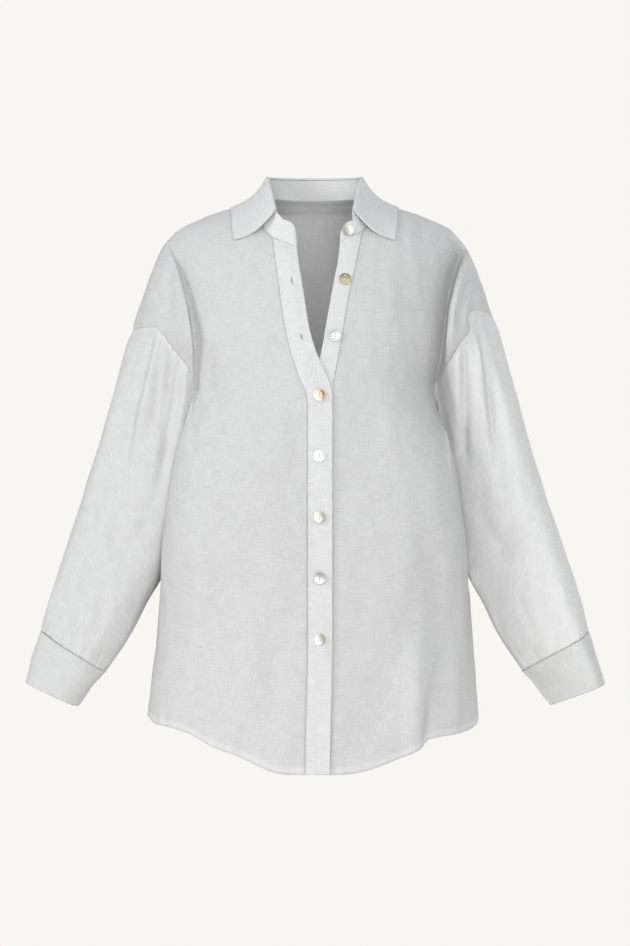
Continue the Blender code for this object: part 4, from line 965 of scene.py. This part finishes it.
# ---- The cuffs ----
# Each cuff is a straight piece of doubled linen that takes in the gathered end of its sleeve. Its two long
# edges are stitched and pucker a little.
CUFF_ROWS = 26
CUFF_FLAT = (0.26, 0.066)
CUFF_AREA = 0.016
CUFF_BLEND = 25.0
CUFF_GAP = 0.4
CUFF_STAND = 0.6
CUFF_DENT = 0.9
CUFF_STITCH_IN = 2.0
CUFF_TOP_PUCKER = Pucker(depth=0.45, reach=8, pitch=9)
CUFF_EDGE_PUCKER = Pucker(depth=0.5, reach=9, pitch=10)
CUFF = [Ring(*row) for row in (
    (348.3, -552.5, 269.3, -602.5, -8, 38),
    (360, -585, 286, -625, -11, 37),
    (368, -615.5, 301.5, -646, -13, 35.5),
)]
cuff_linen = linen("cuff_linen", tone=0.95, sheer=0.2)
cuffs = {}
for side in (RIGHT, LEFT):
    mirror = np.array([side, 1, 1])
    around = np.linspace(0, 2 * np.pi, 2 * HOLE_ROWS + 1)
    total = ring_point(0.0, 0.0, CUFF)[1]
    end = sleeves[side][0][-1] * mirror
    end = (end + np.roll(end, 3, axis=0) + np.roll(end, -3, axis=0)) / 3
    way = end.mean(axis=0) - (sleeves[side][0][-2] * mirror).mean(axis=0)
    shift = end + CUFF_GAP * way / np.linalg.norm(way) - ring_point(around, 0.0, CUFF, LEAN[side])[0]
    angle, run = np.meshgrid(around, np.linspace(0, total, CUFF_ROWS + 1))
    base = ring_point(angle, run, CUFF, LEAN[side])[0] + shift[None] * (1 - ease(run / CUFF_BLEND))[..., None]
    outward = np.stack([np.cos(angle), -np.sin(angle), 0 * angle], -1)
    dents = CUFF_DENT * np.sin(3 * angle + 0.09 * run + side) * np.sin(np.pi * run / total)
    points = (base + outward * (CUFF_STAND + dents)[..., None]) * mirror
    points[:, -1] = points[:, 0]
    normals = ring_normals(points)
    pucker(points, normals, CUFF_TOP_PUCKER, side)
    pucker(points[::-1], normals[::-1], CUFF_EDGE_PUCKER, side + 2)
    points[:, -1] = points[:, 0]
    cuffs[side] = points, normals
    across, down = lengths_across(points), lengths_along(points)
    edges = [inside_edge(points[::step], normals[::step], CUFF_STITCH_IN) for step in (1, -1)]
    cut = Cut(CUFF_FLAT, CUFF_AREA, "gathered", [f"sleeve_{SIDE_NAMES[side]}_cloth"])
    sew(f"cuff_{SIDE_NAMES[side]}", cuffs[side], (across, down), DOUBLE_CLOTH, cuff_linen, cut, edges,
        closed=True)

# ---- The collar stand ----
# The stand is a doubled strip sewn round the neckline. Its rounded front ends reach past the bands' edges.
STAND_ROWS = 20
STAND_BAND_COLUMNS = BAND_COLUMNS
STAND_WHITER = 0.2
STAND_CUT = Cut((0.46, 0.036), 0.0114, "hung", ["front_right_cloth", "front_left_cloth", "back_cloth"])
STAND_PUCKER = Pucker(depth=0.3, reach=6, pitch=12)
Top = namedtuple("Top", "x y z")
STAND_TOP_BACK = Top(0, 52, 30)
STAND_TOP_SIDE = Top(59, 0, 27)
STAND_TOP_BREAK = Top(47, -68, -24)
STAND_END = {
    RIGHT: (Line(-39, -30), Line(-31, -33), Line(-25, -39), Line(-22, -50)),
    LEFT: (Line(48, -31), Line(41, -34), Line(35, -40), Line(32, -48)),
}


def neckline_loop():
    """The neckline's points from the right front end round the back to the left front end."""
    pieces = []
    for side in (RIGHT, LEFT):
        band = bands[side][0][0, ::-1]
        front = fronts[side][0][: NECK_ROWS + 1, 0][::-1]
        back = backs[side][0][: NECK_ROWS + 1, 0]
        way = np.concatenate((band, front[1:-1], (front[-1:] + back[:1]) / 2, back[1:]))
        pieces.append(way if side == RIGHT else way[::-1][1:])
    return np.concatenate(pieces)


def stand_top(side):
    """The stand's top edge over the neckline's points of one side, from the front end to centre back."""
    end = STAND_END[side]
    spots, knots = np.linspace(0, 1, STAND_BAND_COLUMNS + 1), np.linspace(0, 1, len(end))
    end_x = smooth_lookup(spots, knots, [row.x for row in end[::-1]])
    end_z = smooth_lookup(spots, knots, [row.z for row in end[::-1]])
    tip = body_point(turn_at(side * end_x[:1], end_z[:1]), end_z[:1], side, (), 0)[0, 1] - 1
    end_y = tip + (STAND_TOP_BREAK.y - tip) * ease(spots)
    front = np.linspace(0, 1, NECK_ROWS + 1)[1:]
    brk, flank, rear = STAND_TOP_BREAK, STAND_TOP_SIDE, STAND_TOP_BACK
    swing = front * np.pi / 2
    front_x = brk.x + (flank.x - brk.x) * np.sin(swing)
    front_y = brk.y + (flank.y - brk.y) * front
    front_z = brk.z + (flank.z - brk.z) * np.sin(swing) ** 0.9
    x = np.concatenate((end_x, side * front_x, side * flank.x * np.cos(swing)))
    y = np.concatenate((end_y, front_y, rear.y * np.sin(swing)))
    z = np.concatenate((end_z, front_z, flank.z + (rear.z - flank.z) * np.sin(swing)))
    return np.stack([x, y, z], -1)


foot = neckline_loop()
top = np.concatenate((stand_top(RIGHT), stand_top(LEFT)[::-1][1:]))
out = np.stack([top[:, 0] / STAND_TOP_SIDE.x, top[:, 1] / STAND_TOP_BACK.y, 0 * top[:, 0]], -1)
out /= np.linalg.norm(out, axis=-1, keepdims=True)
up = np.linspace(0, 1, STAND_ROWS + 1)[:, None, None]
points = foot * (1 - up) + (top + out) * up
normals = grid_normals(points)
pucker(points, normals, STAND_PUCKER, 0.5)
upward = -normals if normals[0, 0, 1] > 0 else normals
sew("collar_stand", (points, normals), (lengths_across(points), lengths_along(points)), DOUBLE_CLOTH,
    band_linen, STAND_CUT, [inside_edge(points, upward, EDGE_STITCH)],
    layers=np.full(points.shape[:2], STAND_WHITER))

# ---- The collar leaf ----
# The leaf is two layers turned out and stitched near its edge. It rolls over the stand's top edge and falls
# open on the shoulders, and its points stand a little off the fronts.
ROLL_RADIUS = 2.6
ROLL_ROWS = 10
FALL_ROWS = 30
ROLL_END = 0.25 * np.pi
LEAF_STAND_OFF = 2.4
LEAF_STITCH_IN = 4.0
LEAF_CUT = Cut((0.44, 0.07), 0.0238, "folded", ["collar_stand_cloth"])
LEAF_PUCKER = Pucker(depth=0.3, reach=7, pitch=12)
LEAF_HUG = 4.5
LEAF_SAG = 8.0
LEAF_SAG_START = 0.6
LeafEdge = namedtuple("LeafEdge", "along turn z")
LEAF_EDGE = [LeafEdge(*row) for row in (
    (0.0, 180, -13),
    (0.25, 141, -12),
    (0.4, 112, -10.5),
    (0.5, 90, -9.5),
    (0.6, 69, -13),
    (0.7, 54, -18.5),
    (0.8, 43, -28),
    (0.9, 36, -41),
    (1.0, 32, -57),
)]
first = STAND_BAND_COLUMNS + 1
roll_top, roll_out = top[first:-first], out[first:-first]
along = np.linspace(-1, 1, len(roll_top))
side_of = np.where(along < 0, RIGHT, LEFT)
turn = np.radians(read(LEAF_EDGE, "along", "turn", np.abs(along)))
edge_z = read(LEAF_EDGE, "along", "z", np.abs(along))
halves = {side: body_point(turn, edge_z, side, (), 0) for side in (RIGHT, LEFT)}
seat = np.where((side_of == RIGHT)[:, None], halves[RIGHT], halves[LEFT])
nudged = {side: body_point(turn, edge_z - 1, side, (), 0) for side in (RIGHT, LEFT)}
downhill = np.where((side_of == RIGHT)[:, None], nudged[RIGHT], nudged[LEFT]) - seat
away = np.cross(np.gradient(seat, axis=0), downhill)
away /= np.linalg.norm(away, axis=-1, keepdims=True)
away *= np.sign(away[:, 2:3])
free = seat + LEAF_STAND_OFF * away
rise = np.array([0, 0, 1.0])
rows = []
for angle in np.linspace(np.pi, ROLL_END, ROLL_ROWS + 1):
    middle = roll_top + 0.3 * rise + roll_out * (ROLL_RADIUS - 1.0)
    rows.append(middle + ROLL_RADIUS * (np.cos(angle) * roll_out + np.sin(angle) * rise))
start = rows[-1]
front_part = ease((np.abs(along) - LEAF_SAG_START) / (1 - LEAF_SAG_START))[:, None]
hug = LEAF_HUG * (1 - front_part) * np.abs(roll_out[:, :1])
for share in np.linspace(0, 1, FALL_ROWS + 1)[1:]:
    arch = np.sin(np.pi * share)
    inward = hug * (roll_out + rise) + LEAF_SAG * front_part * rise
    row = start + (free - start) * share - arch * inward
    below = np.where(side_of == RIGHT, *[
        body_point(turn_at(side * row[:, 0], row[:, 2]), row[:, 2], side, (), 0)[:, 1]
        for side in (RIGHT, LEFT)
    ])
    forward = np.minimum(row[:, 1], below - LEAF_STAND_OFF)
    row[:, 1] = np.where((row[:, 1] < -20) & (row[:, 2] < -12), forward, row[:, 1])
    rows.append(row)
points = np.array(rows)
normals = -np.cross(np.gradient(points, axis=0), np.gradient(points, axis=1))
normals /= np.linalg.norm(normals, axis=-1, keepdims=True)
normals *= np.sign((normals[-5:, :, 2]).sum())
pucker(points[::-1], normals[::-1], LEAF_PUCKER, 1.2)
edges = [inside_edge(points[::-1], normals[::-1], LEAF_STITCH_IN)]
edges += [inside_edge(turned_over(points[ROLL_ROWS:, ::step]), turned_over(normals[ROLL_ROWS:, ::step]),
                      LEAF_STITCH_IN) for step in (1, -1)]
sew("collar_leaf", (points, normals), (lengths_across(points), lengths_along(points)), DOUBLE_CLOTH,
    linen("collar_linen", tone=0.96, sheer=0.15), LEAF_CUT, edges)

# ---- The buttons ----
# Eight mother-of-pearl buttons, turned with a raised rim and a dished middle, with two holes one above the
# other. Each is sewn on through its holes; no two have the same gleam.
BUTTON_RADIUS = 7.6
BUTTON_THICKNESS = 2.6
HOLE_RADIUS = 0.8
HOLE_OFFSET = 1.7
DISH_STEPS = ((0.9, 0.0), (0.7, -0.45), (1.2, -0.35), (1.6, -0.1))
THREAD_APART = 0.26
THREAD_ABOVE = 0.35
Pearl = namedtuple("Pearl", "light dark turn split streaks")
PEARLS = [Pearl(*row) for row in (
    ((0.72, 0.73, 0.67), (0.38, 0.38, 0.31), 200, 0.45, 0.35),
    ((0.52, 0.48, 0.32), (0.20, 0.15, 0.05), 85, 0.40, 0.30),
    ((0.66, 0.69, 0.64), (0.42, 0.45, 0.41), 110, 0.35, 0.45),
    ((0.86, 0.80, 0.70), (0.36, 0.16, 0.05), 20, 0.50, 0.80),
    ((0.83, 0.83, 0.81), (0.62, 0.63, 0.60), 0, 0.20, 0.15),
    ((0.84, 0.83, 0.77), (0.36, 0.37, 0.31), 10, 0.45, 0.30),
    ((0.80, 0.80, 0.78), (0.34, 0.34, 0.28), 75, 0.42, 0.45),
    ((0.86, 0.86, 0.83), (0.33, 0.34, 0.28), 15, 0.48, 0.30),
)]


def pearl(name, tones):
    """Polished shell whose grey and coloured layers cross the face at its own angle, with painted shade
    darkening it towards the rim.
    """
    material, shader, output, add, links = new_material(name)
    face = add("UVMap", uv_map="face").outputs["UV"]
    turned = add("Mapping", {"Vector": face, "Rotation": (0, 0, np.radians(-tones.turn))}).outputs[0]
    x = add("SeparateXYZ", {"Vector": turned}).outputs[0]
    streak = add("TexNoise", {"Vector": turned, "Scale": 2.2, "Detail": 3.0, "Distortion": 1.4}).outputs[0]
    moved = add("Math", {0: streak, 1: tones.streaks * 3, 2: x}, operation="MULTIPLY_ADD").outputs[0]
    middle = 0.5 - tones.split + tones.streaks * 1.5
    share = add("MapRange", {"Value": moved, "From Min": middle - 0.35, "From Max": middle + 0.55},
                interpolation_type="SMOOTHSTEP").outputs[0]
    colour = add("Mix", {0: share, 6: tones.light + (1,), 7: tones.dark + (1,)}, data_type="RGBA").outputs[2]
    # Painted shade: the colour darkens towards the rim and over the button's edge.
    from_middle = add("VectorMath", {0: face}, operation="LENGTH").outputs["Value"]
    rim_painted_shade = add("MapRange", {"Value": from_middle, "From Min": 0.84, "From Max": 0.99,
                              "To Max": 0.5}).outputs[0]
    colour = add("Mix", {0: rim_painted_shade, 6: colour, 7: (0.30, 0.30, 0.27, 1)}, data_type="RGBA").outputs[2]
    links.new(colour, shader.inputs["Base Color"])
    shader.inputs["Roughness"].default_value = 0.22
    shader.inputs["Coat Weight"].default_value = 0.6
    shader.inputs["Coat Roughness"].default_value = 0.08
    shader.inputs["Subsurface Weight"].default_value = 0.0
    return material


def button_disc():
    """One button about the origin: a cylinder bevelled at its edge, with a rim, a dish and two holes."""
    bpy.ops.mesh.primitive_cylinder_add(vertices=56, radius=BUTTON_RADIUS * MM, depth=BUTTON_THICKNESS * MM)
    disc = bpy.context.object
    bpy.ops.object.mode_set(mode="EDIT")
    bpy.ops.mesh.select_all(action="DESELECT")
    bpy.ops.object.mode_set(mode="OBJECT")
    for face in disc.data.polygons:
        face.select = face.normal.z > 0.9
    bpy.ops.object.mode_set(mode="EDIT")
    for inset, drop in DISH_STEPS:
        bpy.ops.mesh.inset(thickness=inset * MM, depth=drop * MM)
    bpy.ops.object.mode_set(mode="OBJECT")
    for offset in (-HOLE_OFFSET, HOLE_OFFSET):
        bpy.ops.mesh.primitive_cylinder_add(vertices=20, radius=HOLE_RADIUS * MM, depth=0.02,
                                            location=(0, offset * MM, 0))
        drill = bpy.context.object
        bpy.context.view_layer.objects.active = disc
        hole = disc.modifiers.new("hole", "BOOLEAN")
        hole.operation, hole.object, hole.solver = "DIFFERENCE", drill, "EXACT"
        bpy.ops.object.modifier_apply(modifier="hole")
        bpy.data.objects.remove(drill, do_unlink=True)
    soft = disc.modifiers.new("soft", "BEVEL")
    soft.width, soft.segments, soft.limit_method, soft.angle_limit = 0.35 * MM, 3, "ANGLE", np.radians(28)
    bpy.ops.object.modifier_apply(modifier="soft")
    return disc


bpy.ops.object.select_all(action="DESELECT")
pattern = button_disc()
face_map = pattern.data.uv_layers.new(name="face")
for loop in pattern.data.loops:
    place = pattern.data.vertices[loop.vertex_index].co / (BUTTON_RADIUS * MM)
    face_map.data[loop.index].uv = place.xy
pattern.data.shade_smooth()

buttons = []
for number, tones in enumerate(PEARLS, start=1):
    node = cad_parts[f"button_{number}"]
    corners = np.array([vertex.co for vertex in node.data.vertices])
    middle = (corners.min(axis=0) + corners.max(axis=0)) / 2
    flat = np.linalg.svd(corners - corners.mean(axis=0), full_matrices=False)[2]
    forward = Vector(flat[2] * -np.sign(flat[2][1])).normalized()
    sideways = Vector((0, 0, 1)).cross(forward).normalized()
    upward = forward.cross(sideways)
    turn_to = Matrix((sideways, upward, forward)).transposed().to_4x4()
    mesh = pattern.data.copy()
    mesh.transform(Matrix.Translation(middle) @ turn_to)
    mesh.materials.clear()
    mesh.materials.append(pearl(f"pearl_{number}", tones))
    piece = bpy.data.objects.new(f"button_{number}_shell", mesh)
    bpy.context.scene.collection.objects.link(piece)
    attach(piece, "root")
    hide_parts(f"button_{number}")
    buttons.append((Vector(middle), sideways, upward, forward))
bpy.data.objects.remove(pattern, do_unlink=True)
loops = []
for middle, sideways, upward, forward in buttons:
    middle, sideways, upward, forward = [np.array(part) for part in (middle / MM, sideways, upward, forward)]
    for offset in (-THREAD_APART, THREAD_APART):
        bridge = middle + offset * sideways + THREAD_ABOVE * forward
        reach = (HOLE_OFFSET + THREAD_ABOVE) * upward
        loops.append([(bridge - reach)[None], (bridge + reach)[None], forward[None]])
thread_piece("button_thread", loops, THREAD_APART)

# ---- The floor, the light and the camera ----
# A pale floor well below the hem, soft light from the upper left of the picture, and the camera level with
# the middle of the shirt.
FLOOR_Z = -1.42
bpy.ops.object.select_all(action="DESELECT")
bpy.ops.mesh.primitive_circle_add(vertices=96, radius=2.2, fill_type="NGON", location=(0, 0, FLOOR_Z))
floor = bpy.context.object
floor.name = "floor"
floor_paint, shader, *_ = new_material("floor_paint")
shader.inputs["Base Color"].default_value = (0.08, 0.08, 0.077, 1)
shader.inputs["Roughness"].default_value = 0.9
shader.inputs["Emission Color"].default_value = (0.93, 0.922, 0.888, 1)
shader.inputs["Emission Strength"].default_value = 0.88
floor.data.materials.append(floor_paint)

BACKGROUND = (0.930, 0.922, 0.888, 1)
world = bpy.data.worlds.new("studio")
world.use_nodes = True
bpy.context.scene.world = world
sky = world.node_tree.nodes["Background"]
sky.inputs["Color"].default_value = BACKGROUND
sky.inputs["Strength"].default_value = 1.0
dim = world.node_tree.nodes.new("ShaderNodeBackground")
dim.inputs["Color"].default_value = (0.95, 0.97, 1.0, 1)
dim.inputs["Strength"].default_value = 0.50
seen = world.node_tree.nodes.new("ShaderNodeLightPath")
choose = world.node_tree.nodes.new("ShaderNodeMixShader")
world.node_tree.links.new(seen.outputs["Is Camera Ray"], choose.inputs[0])
world.node_tree.links.new(dim.outputs[0], choose.inputs[1])
world.node_tree.links.new(sky.outputs[0], choose.inputs[2])
world.node_tree.links.new(choose.outputs[0], world.node_tree.nodes["World Output"].inputs["Surface"])

Lamp = namedtuple("Lamp", "name place size power")
LAMPS = (
    Lamp("side_key", (-8.0, -3.8, 2.6), 3.0, 340),
    Lamp("side_fill", (8.4, -1.4, 3.6), 3.0, 36),
    Lamp("front_light", (0.3, -3.8, 0.6), 2.2, 88),
    Lamp("behind_light", (3.2, 3.4, 1.8), 2.4, 80),
)
AIM = Vector((0, 0, -0.35))
for lamp in LAMPS:
    light = bpy.data.lights.new(lamp.name, "AREA")
    light.size, light.energy = lamp.size, lamp.power
    holder = bpy.data.objects.new(lamp.name, light)
    holder.location = lamp.place
    holder.rotation_euler = (AIM - Vector(lamp.place)).to_track_quat("-Z", "Y").to_euler()
    holder.visible_camera = False
    bpy.context.scene.collection.objects.link(holder)

camera_data = bpy.data.cameras.new("camera")
camera_data.lens = 118.9
camera_data.clip_end = 100
camera = bpy.data.objects.new("camera", camera_data)
camera.location = (0.0006, -4.0, -0.3494)
camera.rotation_euler = (np.pi / 2, 0, 0)
bpy.context.scene.collection.objects.link(camera)
bpy.context.scene.camera = camera
bpy.context.scene.view_settings.view_transform = "Standard"
